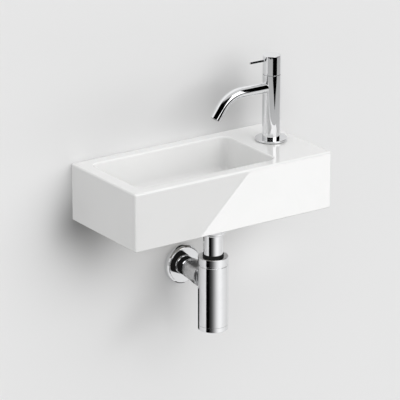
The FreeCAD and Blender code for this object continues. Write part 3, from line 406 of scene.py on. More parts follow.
# The outside is a rounded box profile carried round the plan; the bowl is its own profile carried round the
# opening, then a floor that eases from the bowl's outline to the pan's, then circles down the waste hole.
def makeBasin():
    s = basinSizes
    left, right, front, back = (s[side] for side in ("left", "right", "front", "back"))
    arc = s["arcSteps"] + 1
    corners = [(20, s["base"]), (0, s["base"], s["footRound"]), (0, rim, s["topRound"]), (20, rim)]
    outline = softOutline(corners, closed=False, steps=s["edgeSteps"])[1:-1]
    outside = [boxLoop(left + inset, right - inset, front + inset, back - inset,
                       max(s["corner"] - inset, s["leastCorner"]), level) for inset, level in outline]
    outside = np.stack(outside)
    verts, faces = gridPart(outside)
    backFace = s["edgeSteps"] * outside.shape[1] + 2 * arc - 1  # the one face that the bolt holes go through
    glazed, bare = 0, 1
    parts = [(verts, np.delete(faces, backFace, 0), glazed)]

    # Deck with the bowl's opening and the tap hole.
    x0, x1, y0, y1 = s["bowl"]
    bowlLine = softOutline(s["bowlProfile"], closed=False, steps=10)[1:]
    bowlRows = [boxLoop(x0 + inset, x1 - inset, y0 + inset, y1 - inset,
                        max(s["bowlCorner"] - inset, s["leastBowl"]), rim + drop, *s["bowlSteps"])
                for inset, drop in bowlLine]
    tapTop = circleLoop(tapSpot, s["tapHole"], rim)
    parts.append(flatPart([outside[-1], bowlRows[0], tapTop]) + (glazed,))

    # Floor: z eases down with the square law t t (3 - 2 t) while the outline moves evenly to the pan's.
    half = s["pan"] / 2
    pan = boxLoop(drainSpot[0] - half, drainSpot[0] + half, drainSpot[1] - half, drainSpot[1] + half,
                  s["panCorner"], s["panLevel"], *s["bowlSteps"])
    share = np.linspace(0, 1, s["floorSteps"] + 1)[1:, None, None]
    floor = bowlRows[-1][None] * (1 - share) + pan[None] * share
    ease = (share * share * (3 - 2 * share))[:, :, 0]
    floor[:, :, 2] = bowlRows[-1][:, 2][None] * (1 - ease) + pan[:, 2][None] * ease
    parts.append(gridPart(np.concatenate([np.stack(bowlRows), floor])) + (glazed,))

    # Circles at the angle of each point of the pan's outline, so the rows join it point for point.
    turn = np.arctan2(pan[:, 1] - drainSpot[1], pan[:, 0] - drainSpot[0])
    hole = softOutline(s["wasteHole"], closed=False, steps=4)[1:]
    circles = np.stack([np.stack([drainSpot[0] + radius * np.cos(turn), drainSpot[1] + radius * np.sin(turn),
                                  np.full(len(turn), level)], 1) for radius, level in hole])
    parts.append(gridPart(np.concatenate([pan[None], circles[:s["glazedRows"]]])) + (glazed,))
    parts.append(gridPart(circles[s["glazedRows"] - 1:]) + (bare,))

    # Hollows below: one skirt all round, a roof under the bowl and a deeper bay under the tap.
    skirt = boxLoop(*s["bay"], s["bayCorner"], 0)[:, :2]
    arcs = [skirt[k * arc:(k + 1) * arc] for k in range(4)]
    turnIn = s["deckBay"] + s["bayCorner"]
    bayFront, bayBack = s["bay"][2], s["bay"][3]
    quarter = np.linspace(0, np.pi / 2, arc)
    size = s["bayCorner"]
    lowArc = np.stack([turnIn - size * np.sin(quarter), bayFront + size - size * np.cos(quarter)], 1)
    highArc = np.stack([turnIn - size * np.cos(quarter), bayBack - size + size * np.sin(quarter)], 1)
    middle = np.concatenate([lowArc, highArc])
    rightPath = np.concatenate([lowArc[:1], arcs[0], arcs[1], highArc[-1:]])
    leftPath = np.concatenate([highArc[-1:], arcs[2], arcs[3], lowArc[:1]])
    levels = (s["base"], s["roof"], s["deckRoof"])
    for path, heights in ((rightPath[:-1], levels), (leftPath[1:], levels[:2]), (middle, levels[1:])):
        rows = np.stack([levelAt(path, level) for level in heights])
        parts.append(gridPart(rows, wrapColumns=False) + (bare,))
    tapLow = circleLoop(tapSpot, s["tapHole"], s["deckRoof"])
    inner = np.concatenate([rightPath[:-1], leftPath[:-1]])
    roofEdge = np.concatenate([leftPath[:-1], middle[:-1]])
    deckEdge = np.concatenate([rightPath[:-1], middle[::-1][:-1]])
    for loops in ([outside[0], levelAt(inner, s["base"])], [levelAt(roofEdge, s["roof"]), circles[-1]],
                  [levelAt(deckEdge, s["deckRoof"]), tapLow]):
        parts.append(flatPart(loops) + (bare,))
    parts.append(gridPart(np.stack([tapTop, tapLow])) + (bare,))

    # Back faces with the two bolt holes.
    inX, outX = s["bay"][1] - s["bayCorner"], right - s["corner"]
    holes = [[circleLoop((spot, 0), s["boltHole"], depth, 40, "y") for spot in s["boltSpots"]]
             for depth in (back, s["bay"][3])]
    low, high = s["base"] + s["footRound"], rim - s["topRound"]
    outer = np.array([(-outX, back, low), (outX, back, low), (outX, back, high), (-outX, back, high)], float)
    inside = np.array([(-inX, bayBack, levels[0]), (inX, bayBack, levels[0]), (inX, bayBack, levels[1]),
                       (inX, bayBack, levels[2]), (turnIn, bayBack, levels[2]), (turnIn, bayBack, levels[1]),
                       (-inX, bayBack, levels[1])], float)
    for face, cuts in zip((outer, inside), holes):
        parts.append(flatPart([face] + cuts, (0, 2)) + (bare,))
    for near, far in zip(*holes):
        parts.append(gridPart(np.stack([near, far])) + (bare,))
    return makePiece("glazedBasin", parts, [glaze, bareClay], "basin_set", ["basin"])


makeBasin()
print("basin made")


# Waste

capSizes = {"radius": 27.5, "top": 23.0, "edge": 22.7, "under": 20.5, "pivot": 18.0, "lug": 2.2,
            "lugHalf": 2.4, "crown": (20, 0.04), "overlap": 0.5}


# The cap's top is faintly crowned; a round-ended lug hangs under it to the hinge pin.
def makeCap():
    s = capSizes
    x, y = drainSpot
    crown, drop = s["crown"]
    disc = softOutline([(0, s["top"]), (crown, s["top"] - drop), (s["radius"], s["edge"], 0.7),
                        (s["radius"], s["under"], 0.4), (0, s["under"])], closed=False)
    sweep = np.linspace(np.pi, 2 * np.pi, 17)
    lugTop = s["under"] - s["pivot"] + s["overlap"]
    lug = np.concatenate([s["lug"] * np.stack([np.cos(sweep), np.sin(sweep)], 1),
                          [(s["lug"], lugTop), (-s["lug"], lugTop)]])

    def place(outline, level):
        return np.stack([x + outline[:, 0], np.full(len(outline), y + level), s["pivot"] + outline[:, 1]], 1)

    parts = [turnedPart(disc, (x, y, 0), columns=120, closed=False) + (0,),
             prismPart(lug, -s["lugHalf"], s["lugHalf"], place) + (0,)]
    makePiece("tiltingCap", parts, [chrome], "cap", ["drain_cap"])


makeCap()

# Turned pieces, each with the (radius, height, rounding) corners of its outline. The rubber ring has three
# fine ribs on top where the cap's rim stands over it; the round nut holds the lip of the tail pipe.
wasteTurned = {
    "wasteRing": {"finish": blackRubber, "node": "drain_ring", "columns": 120, "corners": [
        (28.3, 19), (36, 19, 0.3), (36, 23, 1.2), (33.4, 23, 0.2), (33.1, 22.6, 0.1), (32.8, 23, 0.2),
        (31.6, 23, 0.2), (31.3, 22.6, 0.1), (31.0, 23, 0.2), (28.3, 23, 0.6)]},
    "wasteGasket": {"finish": blackRubber, "node": "drain_gasket", "corners": [
        (30.5, 15, 0.3), (35.5, 15, 0.3), (35.5, 17, 0.3), (30.5, 17, 0.3)]},
    "underSeal": {"finish": blackRubber, "node": "drain_seal", "corners": [
        (24, -9, 0.3), (32, -9, 0.8), (32, -5, 0.8), (24, -5, 0.3)]},
    "tailPipe": {"finish": chrome, "node": "tail_pipe", "columns": 112, "corners": [
        (15, -131, 0.3), (16, -131, 0.3), (16, -50.5, 0.6), (20, -50.5, 0.3), (20, -49, 0.3),
        (15, -49, 0.3)]},
    "tailNut": {"finish": turnedChrome, "node": "tail_nut", "columns": 112, "corners": [
        (16.15, -53, 0.3), (18.6, -53, 0.8), (23.5, -44.5, 2.5), (23.5, -36, 0.9), (21.1, -36, 0.4),
        (21.1, -50.5), (16.15, -50.5)]}}
turnedPieces(wasteTurned, (*drainSpot, 0))
print("waste made")


# Bottle trap

trapTurned = {
    "pipeSeal": {"finish": blackRubber, "node": "trap_inlet_seal", "columns": 112, "corners": [
        (16, -95.5), (20.8, -95.5), (20.8, -93), (17.3, -93), (17.3, -87, 0.7), (16, -87, 0.2)]},
    "collarNut": {"finish": turnedChrome, "node": "trap_collar_nut", "columns": 128, "corners": [
        (20.95, -103), (25, -103, 0.35), (25, -91, 0.8), (17.3, -91, 0.4), (17.3, -93), (20.95, -93)]},
    "trapCup": {"finish": turnedChrome, "node": "trap_cup", "body": "cup", "columns": 128, "closed": False,
                "corners": [(0, -219), (20.5, -219, 1.5), (22, -218.6, 0.8), (23.6, -219, 0.8),
                            (25, -217.6, 0.9), (25, -210, 0.15), (22.6, -210), (22.6, -199, 0.4),
                            (20.2, -199, 0.4), (20.2, -216.6, 1.5), (0, -216.6)]}}
# The same for what runs to the wall: height is the distance from the wall, negative in the room.
outletTurned = {
    "outletNut": {"finish": satinChrome, "node": "outlet_nut", "columns": 128, "corners": [
        (18.65, -69.5, 0.3), (21.5, -69.5, 0.6), (17, -28.5, 0.8), (16.15, -28.5, 0.2), (16.15, -52.5),
        (18.65, -52.5)]},
    "wallPipe": {"finish": chrome, "node": "wall_pipe", "columns": 112, "corners": [
        (15, -64, 0.3), (16, -64, 0.3), (16, 3, 0.1), (15.7, 3.2), (15.7, 3.8), (16, 4, 0.1), (16, 35, 0.4),
        (15, 35, 0.3)]},
    "wallFlange": {"finish": chrome, "node": "wall_flange", "columns": 144, "steps": 9, "corners": [
        (16.3, -10.6, 0.3), (30.2, -12, 2.4), (33, -8.8, 2.2), (33, 0, 0.3), (31.4, 0, 0.3), (31.4, -7.4),
        (16.3, -7.4)]}}
trapSizes = {
    "barrel": [(25, -209.75, 0.15), (25, -106, 0.35), (24, -106, 0.2), (24, -103.2, 0.2),
               (20.8, -103.2), (20.8, -97), (18.05, -97), (18.05, -109), (23, -109, 1),
               (23, -209.75)],
    "wayOut": [(16.4, -73), (18.5, -73), (18.5, -56, 0.4), (16.4, -56, 0.3)]}
wallSpot = (drainSpot[0], 0, outletLevel)


# Barrel, groove and neck in one turning, with the short threaded way out towards the wall.
def makeTrapBody():
    barrel, wayOut = softOutline(trapSizes["barrel"]), softOutline(trapSizes["wayOut"])
    parts = [turnedPart(barrel, (*drainSpot, 0), columns=128) + (0,),
             turnedPart(wayOut, wallSpot, "y") + (0,)]
    makePiece("trapBody", parts, [turnedChrome], "basin_set", ["trap_body"])


makeTrapBody()
turnedPieces(trapTurned, (*drainSpot, 0))
turnedPieces(outletTurned, wallSpot, "y")
print("trap made")


# Tap

tapSizes = {"radius": 15.0, "spoutRadius": 9.0, "spoutBore": 7.8, "spoutLevel": 173.5, "straight": 60.0,
            "bend": 50.0, "turn": 54.0, "bendSteps": 48, "end": 20.2, "endRings": (18, 1, 6), "into": 4.0}
tapTurned = {
    "baseGasket": {"finish": blackRubber, "node": "tap_base_gasket", "columns": 128, "corners": [
        (10.98, 82, 0.2), (24.9, 82, 0.2), (24.9, 83, 0.2), (10.98, 83, 0.2)]},
    "baseRing": {"finish": chrome, "node": "tap_base_ring", "columns": 160, "corners": [
        (10.98, 83), (26.5, 83, 0.3), (26.5, 86.3, 0.7), (10.98, 86.3)]},
    "tapColumn": {"finish": chrome, "node": "tap_body", "columns": 144, "corners": [
        (10.5, 86.3), (15, 86.3, 0.25), (15, 194.5, 0.3), (12.85, 194.5), (12.85, 197, 0.2),
        (12.5, 197, 0.1), (12.5, 186), (10.5, 186), (10.5, 162), (5, 162), (5, 98.3), (10.5, 98.3)]},
    "tapHandle": {"finish": chrome, "node": "tap_handle", "body": "handle", "columns": 144, "closed": False,
                  "corners": [(0, 227), (15, 227, 0.7), (15, 195.1, 0.35), (13, 195.1, 0.3), (13, 203),
                              (4, 203), (4, 214), (0, 214)]}}
leverSizes = {"radius": 2.0, "level": 219.2, "from": 101, "to": 134}
screwBore = {"level": 209, "radius": 2.05, "from": 3, "to": 17, "columns": 32}
tapPieces = turnedPieces(tapTurned, (*tapSpot, 0))


# A plain rod with a rounded end that reaches into the handle.
def makeLever():
    s = leverSizes
    rod = [(0, s["from"]), (s["radius"], s["from"], 0.8), (s["radius"], s["to"]), (0, s["to"])]
    turnedPiece("tapLever", rod, chrome, "tap_lever", (0, tapSpot[1], s["level"]), body="handle", axis="x",
                columns=40, closed=False)


makeLever()


# The spout's centre line: straight out to the left, an arc that turns down, then straight to the mouth. On
# the arc, across = -(knee + bend sin a) and drop = bend (1 - cos a); the normal leans by the same angle.
def spoutLine():
    s = tapSizes
    start, knee = s["radius"] - s["into"], s["straight"]
    turn = math.radians(s["turn"])
    angles = np.linspace(0, turn, s["bendSteps"] + 1)
    arc = np.stack([-knee - s["bend"] * np.sin(angles), -s["bend"] * (1 - np.cos(angles))], 1)
    tip = arc[-1] + s["end"] * np.array([-math.cos(turn), -math.sin(turn)])
    flat = np.concatenate([[(-start, 0)], arc, tip[None]])
    leans = np.concatenate([[0], angles, [turn]])
    reach = np.concatenate([[0], np.cumsum(np.linalg.norm(np.diff(flat, axis=0), axis=1))])
    level = s["spoutLevel"] + flat[:, 1]
    line = np.stack([tapSpot[0] + flat[:, 0], np.full(len(flat), tapSpot[1]), level], 1)
    normals = np.stack([-np.sin(leans), np.zeros(len(leans)), np.cos(leans)], 1)
    return line, normals, reach


# The wall of the spout, as one closed outline of (radius, distance) carried along the centre line.
def makeSpout():
    s = tapSizes
    line, normals, reach = spoutLine()
    length = reach[-1]
    outline = softOutline([(s["spoutBore"], 0), (s["spoutRadius"], 0), (s["spoutRadius"], length, 0.35),
                           (s["spoutBore"], length, 0.3)], steps=4)
    first, last, count = s["endRings"]
    steps = np.unique(np.concatenate([reach[1:-1], np.linspace(length - first, length - last, count)]))
    outer = np.stack([np.full(len(steps), s["spoutRadius"]), steps], 1)
    inner = np.stack([np.full(len(steps), s["spoutBore"]), steps[::-1]], 1)
    outline = np.concatenate([outline[:2], outer, outline[2:], inner])
    part = carriedPart(outline, line, normals, (0, 1, 0), reach)
    makePiece("tapSpout", [part + (0,)], [chrome], "basin_set", ["tap_spout"])


makeSpout()

aeratorSizes = {"radius": 7.75, "inside": 6.3, "deep": 8.0, "set": 0.15, "plate": (1.6, 3.0), "hole": 0.55,
                "pitch": 2.2, "rings": 2, "columns": 72}


# The aerator sits flush in the mouth: a ring and a plate with holes on a hexagonal grid,
# point = tip + across * sideways + over * normal + along * outward.
def makeAerator():
    s = aeratorSizes
    line, normals, reach = spoutLine()
    outward = (line[-1] - line[-2]) / np.linalg.norm(line[-1] - line[-2])
    frameRows = np.stack([np.array((0.0, 1.0, 0.0)), normals[-1], outward])
    corners = [(s["inside"], -s["deep"]), (s["radius"], -s["deep"]), (s["radius"], -s["set"], 0.2),
               (s["inside"], -s["set"], 0.3)]
    ring = turnedPart(softOutline(corners, steps=3), (0, 0, 0), columns=s["columns"])
    steps = np.arange(-s["rings"], s["rings"] + 1)
    grid = [(column * s["pitch"] + row * s["pitch"] / 2, row * s["pitch"] * math.sqrt(0.75))
            for row in steps for column in steps if abs(row + column) <= s["rings"]]
    loops = [[circleLoop((0, 0), s["inside"] + 0.1, -depth, s["columns"])] +
             [circleLoop(spot, s["hole"], -depth, 12) for spot in grid] for depth in s["plate"]]
    parts = [ring + (0,)] + [flatPart(level) + (0,) for level in loops]
    parts += [gridPart(np.stack(pair)) + (0,) for pair in zip(*loops)]
    parts = [(line[-1] + part[0] @ frameRows,) + part[1:] for part in parts]
    makePiece("aerator", parts, [greyPlastic], "basin_set", ["tap_aerator"])


makeAerator()


# Cuts the round bore of the handle's screw, along X, into the finished handle.
def boreHandle(piece):
    s = screwBore
    start, end = tapSpot[0] + s["from"], tapSpot[0] + s["to"]
    outline = np.array([(0, start), (s["radius"], start), (s["radius"], end), (0, end)], float)
    verts, faces = turnedPart(outline, (0, tapSpot[1], s["level"]), "x", s["columns"], closed=False)
    cutter = bpy.data.objects.new("bore", cleanMesh("bore", verts, faces.tolist()))
    scene.collection.objects.link(cutter)
    piece.modifiers.clear()
    cut = piece.modifiers.new("cut", "BOOLEAN")
    cut.operation, cut.object, cut.solver = "DIFFERENCE", cutter, "EXACT"
    ready = bpy.data.meshes.new_from_object(piece.evaluated_get(bpy.context.evaluated_depsgraph_get()))
    piece.modifiers.clear()
    bpy.data.objects.remove(cutter)
    piece.data = ready
    ready.set_sharp_from_angle(angle=math.radians(roundCrease))
    piece.modifiers.new("evenShading", "WEIGHTED_NORMAL").keep_sharp = True


boreHandle(tapPieces["tapHandle"])
print("tap made")


# Threaded parts out of sight from the front

shankThreads = {"shank": {"outer": 10.47, "depth": 0.95, "pitch": 1.81, "low": 38.2, "high": 85.5},
                "inlet": {"outer": 8.33, "depth": 0.75, "pitch": 1.34, "low": 24.0, "high": 38.4}}


# The tap's shank with the thinner threaded inlet below it.
def makeShank():
    parts = [threadPart((*tapSpot, 0), "z", **thread) + (0,) for thread in shankThreads.values()]
    makePiece("tapShank", parts, [brass], "basin_set", ["tap_shank"], crease=threadCrease)


boltThread = {"outer": 4.0, "depth": 0.7, "pitch": 1.25, "low": -26.0, "high": 0.5}
screwThread = {"outer": 3.5, "depth": 1.0, "pitch": 3.2, "low": 0.0, "high": 50.0, "perPitch": 14}
screwPoint = {"length": 9.0, "least": 0.06}


# Hanger bolts: a machine thread on the basin's side and a coarse screw in the wall, whose radius shrinks
# evenly with (end - distance) / length to its point.
def makeStuds():
    parts = []
    for side in basinSizes["boltSpots"]:
        parts.append(threadPart((side, 0, 0), "y", **boltThread) + (0,))
        verts, faces = threadPart((side, 0, 0), "y", **screwThread)
        left = (screwThread["high"] - verts[:, 1]) / screwPoint["length"]
        taper = np.clip(left, screwPoint["least"], 1)[:, None]
        centre = np.array([side, 0, 0], float)
        verts = np.where([True, False, True], centre + (verts - centre) * taper, verts)
        parts.append((verts, faces, 0))
    makePiece("wallStuds", parts, [zincSteel], "basin_set", ["wall_studs"], crease=threadCrease)


makeShank()
makeStuds()

carried = {
    chrome: ["drain_strainer", "drain_bolt", "cap_pin"],
    brass: ["drain_tailpiece", "drain_bolt_nut", "tap_back_nut", "tap_gland_nut", "tap_cartridge"],
    zincSteel: ["tap_spindle", "handle_screw", "tap_plate_washer", "wall_washers", "wall_nuts"],
    blackRubber: ["tail_washer", "trap_cup_seal", "outlet_seal", "tap_deck_washer"],
    whitePlastic: ["trap_dip_tube", "wall_sleeves"]}
for finish, names in carried.items():
    for name in names:
        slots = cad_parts[name].material_slots
        if slots:
            for slot in slots:
                slot.material = finish
        else:
            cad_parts[name].data.materials.append(finish)
print("threads made and carried nodes finished")


# Studio

studio = {"wallTone": 0.85, "wallGlow": 0.02, "floorTone": 0.80, "floorGlow": 0.6, "roomLight": 0.50,
          "roomRise": 0.25, "shinyRoom": 0.68, "background": 0.784, "sides": 6, "front": -8, "back": 4,
          "top": 5, "floor": -0.85, "wallPlace": 0.0006, "stripPlace": 0.0003, "dark": 0.01}
# Distant lamps: strength, width in degrees and the direction they shine from.
lamps = {"key": (0.92, 44.0, (0.36, -1.0, 0.42)), "front": (0.45, 110.0, (0.1, -1.0, 0.2)),
         "left": (0.38, 50.0, (-1.0, -0.02, 0.12)), "top": (0.47, 60.0, (0.10, -0.15, 1.0))}


# A soft round shade: amount * e to the power of -(distance from the middle / size) squared.
def softSpotGroup():
    inputs = [(label, "Vector", None) for label in ("Vector", "Middle", "Turn", "Size")]
    tree, enter, leave = newGroup("softSpot", inputs + [("Amount", "Float", 0.1)], ["Mask"])
    inside = {"Vector": "Vector", "Location": "Middle", "Rotation": "Turn", "Scale": "Size"}
    links = [(target, enter.outputs[source]) for target, source in inside.items()]
    local = addNode(tree, "Mapping", links, vector_type="TEXTURE")
    square = addNode(tree, "VectorMath", [(0, local), (1, local)], operation="DOT_PRODUCT").outputs["Value"]
    fall = addMath(tree, "EXPONENT", addMath(tree, "MULTIPLY", square, -1.0))
    joinLinks(tree, leave, [("Mask", addMath(tree, "MULTIPLY", fall, enter.outputs["Amount"]))])
    return tree


softSpot = softSpotGroup()

# Painted shade on the wall where it lies in the soft shade of the basin and tap: middle, size, turn and
# amount. Negative amounts are painted light that lightens it where the chrome throws light back.
wallShades = {
    "tap": ((0.125, 0.118), (0.060, 0.078), 1.35, 0.29),
    "room": ((0.009, 0.24), (0.30, 0.10), -0.118, 0.065),
    "corner": ((-0.195, -0.014), (0.033, 0.046), -0.354, 0.27),
    "below": ((-0.151, -0.019), (0.047, 0.076), -0.092, 0.48),
    "rim": ((-0.070, 0.134), (0.172, 0.068), -0.083, 0.126),
    "trap": ((-0.071, -0.215), (0.054, 0.029), 0.687, 0.11),
    "rightLight": ((0.165, -0.155), (0.09, 0.045), 0, -0.10),
    "leftLight": ((-0.038, -0.10), (0.035, 0.035), 0, -0.12),
    "lowLight": ((-0.012, -0.235), (0.03, 0.04), 0, -0.10)}


# An empty material for a stage piece, with its tree and its output.
def stageMaterial(name):
    material = bpy.data.materials.new(name)
    material.use_nodes = True
    tree = material.node_tree
    tree.nodes.clear()
    return material, tree, tree.nodes.new("ShaderNodeOutputMaterial")


# A piece of the stage in metres, hidden from the named kinds of ray.
def addStage(name, verts, faces, material, hidden):
    mesh = bpy.data.meshes.new(name)
    mesh.from_pydata(np.asarray(verts).tolist(), [], np.asarray(faces).tolist())
    mesh.materials.append(material)
    piece = bpy.data.objects.new(name, mesh)
    scene.collection.objects.link(piece)
    for kind in hidden:
        setattr(piece, "visible_" + kind, False)
    return mesh


# A pale sheet that is seen and shaded from its front only; its back lets everything through. Its paint is
# tone - the sum of its shades: painted shade, and painted light where an amount is negative.
def makeSheet(name, corners, tone, glow, shades=()):
    material, tree, leave = stageMaterial(name)
    paint = addNode(tree, "BsdfDiffuse", in_Color=(tone, tone, tone, 1))
    if shades:
        spot = addNode(tree, "TexCoord").outputs["Object"]
        level = tone
        for middle, size, turn, amount in shades:
            shade = addNode(tree, "Group", [("Vector", spot)], node_tree=softSpot, in_Turn=(0, -turn, 0),
                            in_Middle=(middle[0], 0, middle[1]), in_Size=(size[0], 1, size[1]),
                            in_Amount=amount * tone)
            level = addMath(tree, "SUBTRACT", level, shade)
        joinLinks(tree, paint, [("Color", level)])
    light = addNode(tree, "Emission", in_Color=(tone, tone, tone, 1))
    mixed = addNode(tree, "MixShader", [(1, paint), (2, light)], in_0=glow)
    back = addNode(tree, "NewGeometry").outputs["Backfacing"]
    links = [(0, back), (1, mixed), (2, addNode(tree, "BsdfTransparent"))]
    joinLinks(tree, leave, [(0, addNode(tree, "MixShader", links))])
    addStage(name, corners, [(0, 1, 2, 3)], material, ("diffuse", "shadow"))


# The wall stands just behind the back face, and the floor lies far below.
def makeStudio():
    s = studio
    side, level, out = s["sides"], s["floor"], s["wallPlace"]
    wall = [(-side, out, level), (side, out, level), (side, out, s["top"]), (-side, out, s["top"])]
    floor = [(-side, s["front"], level), (side, s["front"], level), (side, s["back"], level),
             (-side, s["back"], level)]
    makeSheet("wallSheet", wall, s["wallTone"], s["wallGlow"], wallShades.values())
    makeSheet("floorSheet", floor, s["floorTone"], s["floorGlow"])


makeStudio()


# A reflector seen only in shiny surfaces: part of an upright drum round (x, y), with its brightness in an
# attribute. Point = centre + radius (cos angle, sin angle), one row of points for each level.
def makeCard(name, centre, radius, turns, levels, glow=(0.0, 0.0)):
    count = len(turns)
    angles = np.radians(np.asarray(turns, float))
    across, over = centre[0] * mm + radius * np.cos(angles), centre[1] * mm + radius * np.sin(angles)
    points = np.stack([np.stack([across, over, np.broadcast_to(level, count)], 1) for level in levels])
    shades = np.stack([np.broadcast_to(level, count) for level in glow])
    addCard(name, *gridPart(points, wrapColumns=False), shades)


# Any card: shades gives the brightness of each point. It is clear from behind where asked, and rays that are
# longer than its reach pass through it.
def addCard(name, verts, faces, shades, clearBack=False, reach=None):
    material, tree, leave = stageMaterial(name)
    level = addNode(tree, "Attribute", attribute_name="glow").outputs["Fac"]
    light = addNode(tree, "Emission", [("Strength", level)])
    passes = None
    if clearBack:
        passes = addNode(tree, "NewGeometry").outputs["Backfacing"]
    if reach:
        passes = addMath(tree, "GREATER_THAN", addNode(tree, "LightPath").outputs["Ray Length"], reach)
    if passes:
        light = addNode(tree, "MixShader", [(0, passes), (1, light), (2, addNode(tree, "BsdfTransparent"))])
    joinLinks(tree, leave, [(0, light)])
    hidden = ("camera", "diffuse", "shadow", "transmission", "volume_scatter")
    mesh = addStage(name, verts, faces, material, hidden)
    shade = mesh.attributes.new("glow", "FLOAT", "POINT")
    shade.data.foreach_set("value", np.asarray(shades, np.float32).ravel())


# Reflectors round the tap, in metres and in degrees from +X: a black wedge with its point down before a grey
# band, a black panel on the left, a tall white and a tall black panel far out, and a low black one in front.
tapCards = {
    "wedge": {"radius": 1.20, "turns": [-113, -98.5, -84, -70, -56],
              "levels": [[-0.165, -0.202, -0.239, -0.202, -0.165], 0.05]},
    "greyBand": {"radius": 1.30, "turns": [-178, -150, -110, -79, -47, -20, 8],
                 "levels": [-0.345, -0.24, 0.05], "glow": [0.62, 0.50, 0.46]},
    "leftPanel": {"radius": 0.27, "turns": [-176, -168, -150, -125, -102],
                  "levels": [0.15, 0.36, 0.46], "glow": [0.0, 0.0, 0.3]},
    "whitePanel": {"radius": 1.22, "turns": [-135, -113, -94, -76, -58], "levels": [-0.03, 1.35],
                   "glow": [2.0, 1.6]},
    "blackPanel": {"radius": 1.20, "turns": [-59, -40, -20, 0, 20], "levels": [-0.12, 1.45]},
    "lowPanel": {"radius": 1.25, "turns": [-116, -98, -80, -57], "levels": [-0.62, -0.288]}}
for name, card in tapCards.items():
    makeCard(name, tapSpot, **card)

# The waste fittings mirror a soft fade from black on the left to bright on the right.
trapCard = {
    "radius": 0.12, "levels": [-0.28, -0.07],
    "turns": [-174, -153, -140, -132, -126, -119, -111, -105, -97, -90, -82, -70, -57, -42, -24, -8],
    "glow": [[0.0, 0.0, 0.05, 0.10, 0.19, 0.33, 0.52, 0.70, 0.88, 1.0, 1.07, 1.08, 0.96, 0.87, 0.80,
              0.74]] * 2}
makeCard("trapCard", drainSpot, **trapCard)

# The front face mirrors this bright card close before it, whose slanted side makes the diagonal across it;
# rays longer than its reach, from any other piece, pass through it.
faceCard = {"corners": [(0.0484, 0.0715), (-0.0617, -0.035), (0.206, -0.035), (0.206, 0.0715)],
            "out": -0.213, "glow": 4.05, "reach": 0.06}


def makeFaceCard():
    corners = [(across, faceCard["out"], level) for across, level in faceCard["corners"]]
    addCard("faceCard", corners, [tuple(range(len(corners)))], [faceCard["glow"]] * len(corners),
            reach=faceCard["reach"])


makeFaceCard()

# Dark strips on the wall behind the trap and its pipe give their left sides an outline; bright ones above
# light the tap's upward edges and the handle's top. Each has left, right, low and high edges and its glow.
backStrips = {"trap": (-0.029, 0.060, -0.265, -0.180, 0.02), "pipe": (-0.015, 0.060, -0.098, -0.070, 0.02),
              "above": (-1.5, 0.18, 0.245, 2.2, 1.0), "right": (0.18, 2.0, 0.275, 2.2, 1.0),
              "top": (0.18, 2.0, 0.245, 0.275, 0.87)}
for name, (left, right, low, high, glow) in backStrips.items():
    corners = [(left, low), (right, low), (right, high), (left, high)]
    addCard(name + "Strip", [(across, studio["stripPlace"], level) for across, level in corners],
            [(0, 1, 2, 3)], [glow] * 4)


# The wall pipe mirrors a dark ring just before its flange, and the flange a dark sleeve on the pipe; another
# sleeve stands round the brass below the basin. Each is clear from behind and runs between two circles of
# (radius, distance).
darkCards = {"ring": ((26.5, -12.2), (16.4, -12.2)), "pipe": ((16.3, -12.2), (16.3, -28.4)),
             "neck": ((25.0, -36.0), (25.0, -9.0))}


def makeDarkCards():
    for name, edges in darkCards.items():
        place = (drainSpot, "z") if name == "neck" else ((drainSpot[0], outletLevel), "y")
        loops = [circleLoop(place[0], radius, distance, 96, place[1]) for radius, distance in edges]
        verts, faces = gridPart(np.stack(loops))
        addCard(name + "Dark", verts * mm, faces, np.full(len(verts), studio["dark"]), clearBack=True)


makeDarkCards()


# Dark lines close round the spout's underside and the lever, seen only by the short rays that leave the
# chrome there. Sizes: gap to the chrome, where the line starts and ends, its edges in degrees and its reach.
lineCards = {
    "spout": {"gap": 1.0, "from": 46.0, "short": 0.5, "first": (-84.0, -89.0),
              "second": (-93.0, -110.0), "rows": 40},
    "lever": {"gap": 1.0, "from": 101.5, "to": 128.5, "turns": (-48.0, 90.0), "rows": 12},
    "reach": 0.005}


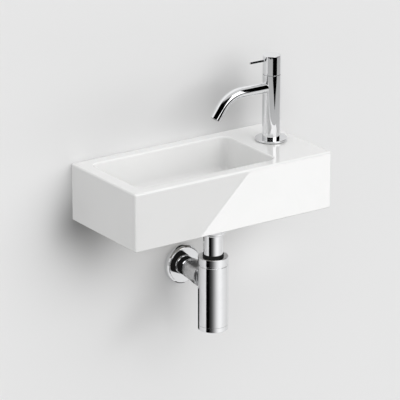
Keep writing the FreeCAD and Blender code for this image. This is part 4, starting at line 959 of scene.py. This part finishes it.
# Point = line(distance) + (radius + gap) (cos a * normal + sin a * sideways), with a from edge to edge.
def makeLineCards():
    s = lineCards["spout"]
    line, normals, reach = spoutLine()
    along = np.linspace(s["from"], reach[-1] - s["short"], s["rows"])
    spots = np.stack([np.interp(along, reach, line[:, k]) for k in range(3)], 1)
    leans = np.stack([np.interp(along, reach, normals[:, k]) for k in range(3)], 1)
    share = (along - along[0]) / (along[-1] - along[0])
    edges = []
    for start, end in (s["first"], s["second"]):
        turn = np.radians(start + (end - start) * share)[:, None]
        edges.append(spots + (tapSizes["spoutRadius"] + s["gap"]) *
                     (np.cos(turn) * leans + np.sin(turn) * np.array((0.0, 1.0, 0.0))))
    grids = {"spoutLine": np.stack(edges, 1)}
    s = lineCards["lever"]
    turn = np.radians(np.linspace(*s["turns"], s["rows"]))
    ring = np.stack([0 * turn, -np.cos(turn), np.sin(turn)], 1) * (leverSizes["radius"] + s["gap"])
    grids["leverLine"] = np.stack([ring + (across, tapSpot[1], leverSizes["level"])
                                   for across in (s["from"], s["to"])])
    for name, grid in grids.items():
        verts, faces = gridPart(grid, wrapColumns=False)
        addCard(name, verts * mm, faces, np.full(len(verts), studio["dark"]), reach=lineCards["reach"])


makeLineCards()


# Soft light from all round, stronger from above: light = level + rise * height of the direction. Shiny
# surfaces see an even room, and the camera sees the paper tone that the wall has.
def setWorld():
    world = bpy.data.worlds.new("paleRoom")
    world.use_nodes = True
    tree = world.node_tree
    tree.nodes.clear()
    leave = tree.nodes.new("ShaderNodeOutputWorld")
    up = addNode(tree, "SeparateXYZ", [(0, addNode(tree, "TexCoord").outputs["Generated"])]).outputs["Z"]
    strength = addMath(tree, "MULTIPLY_ADD", up, studio["roomRise"], studio["roomLight"])
    shiny, paper = studio["shinyRoom"], studio["background"]
    room = addNode(tree, "Background", [("Strength", strength)], in_Color=(1, 1, 1, 1))
    mirrored = addNode(tree, "Background", in_Color=(shiny, shiny, shiny, 1))
    seen = addNode(tree, "Background", in_Color=(paper, paper, paper, 1))
    ray = addNode(tree, "LightPath")
    inner = addNode(tree, "MixShader", [(0, ray.outputs["Is Glossy Ray"]), (1, room), (2, mirrored)])
    mixed = addNode(tree, "MixShader", [(0, ray.outputs["Is Camera Ray"]), (1, inner), (2, seen)])
    joinLinks(tree, leave, [(0, mixed)])
    scene.world = world


# A distant lamp that lights the object but isn't mirrored in it.
def addLamp(name, strength, width, towards):
    lamp = bpy.data.objects.new(name + "Lamp", bpy.data.lights.new(name + "Lamp", "SUN"))
    lamp.data.energy = strength
    lamp.data.angle = math.radians(width)
    lamp.rotation_euler = Vector(towards).to_track_quat("Z", "Y").to_euler()
    lamp.visible_glossy = False
    scene.collection.objects.link(lamp)


setWorld()
for name, values in lamps.items():
    addLamp(name, *values)
scene.view_settings.view_transform = "Standard"
print("studio set")
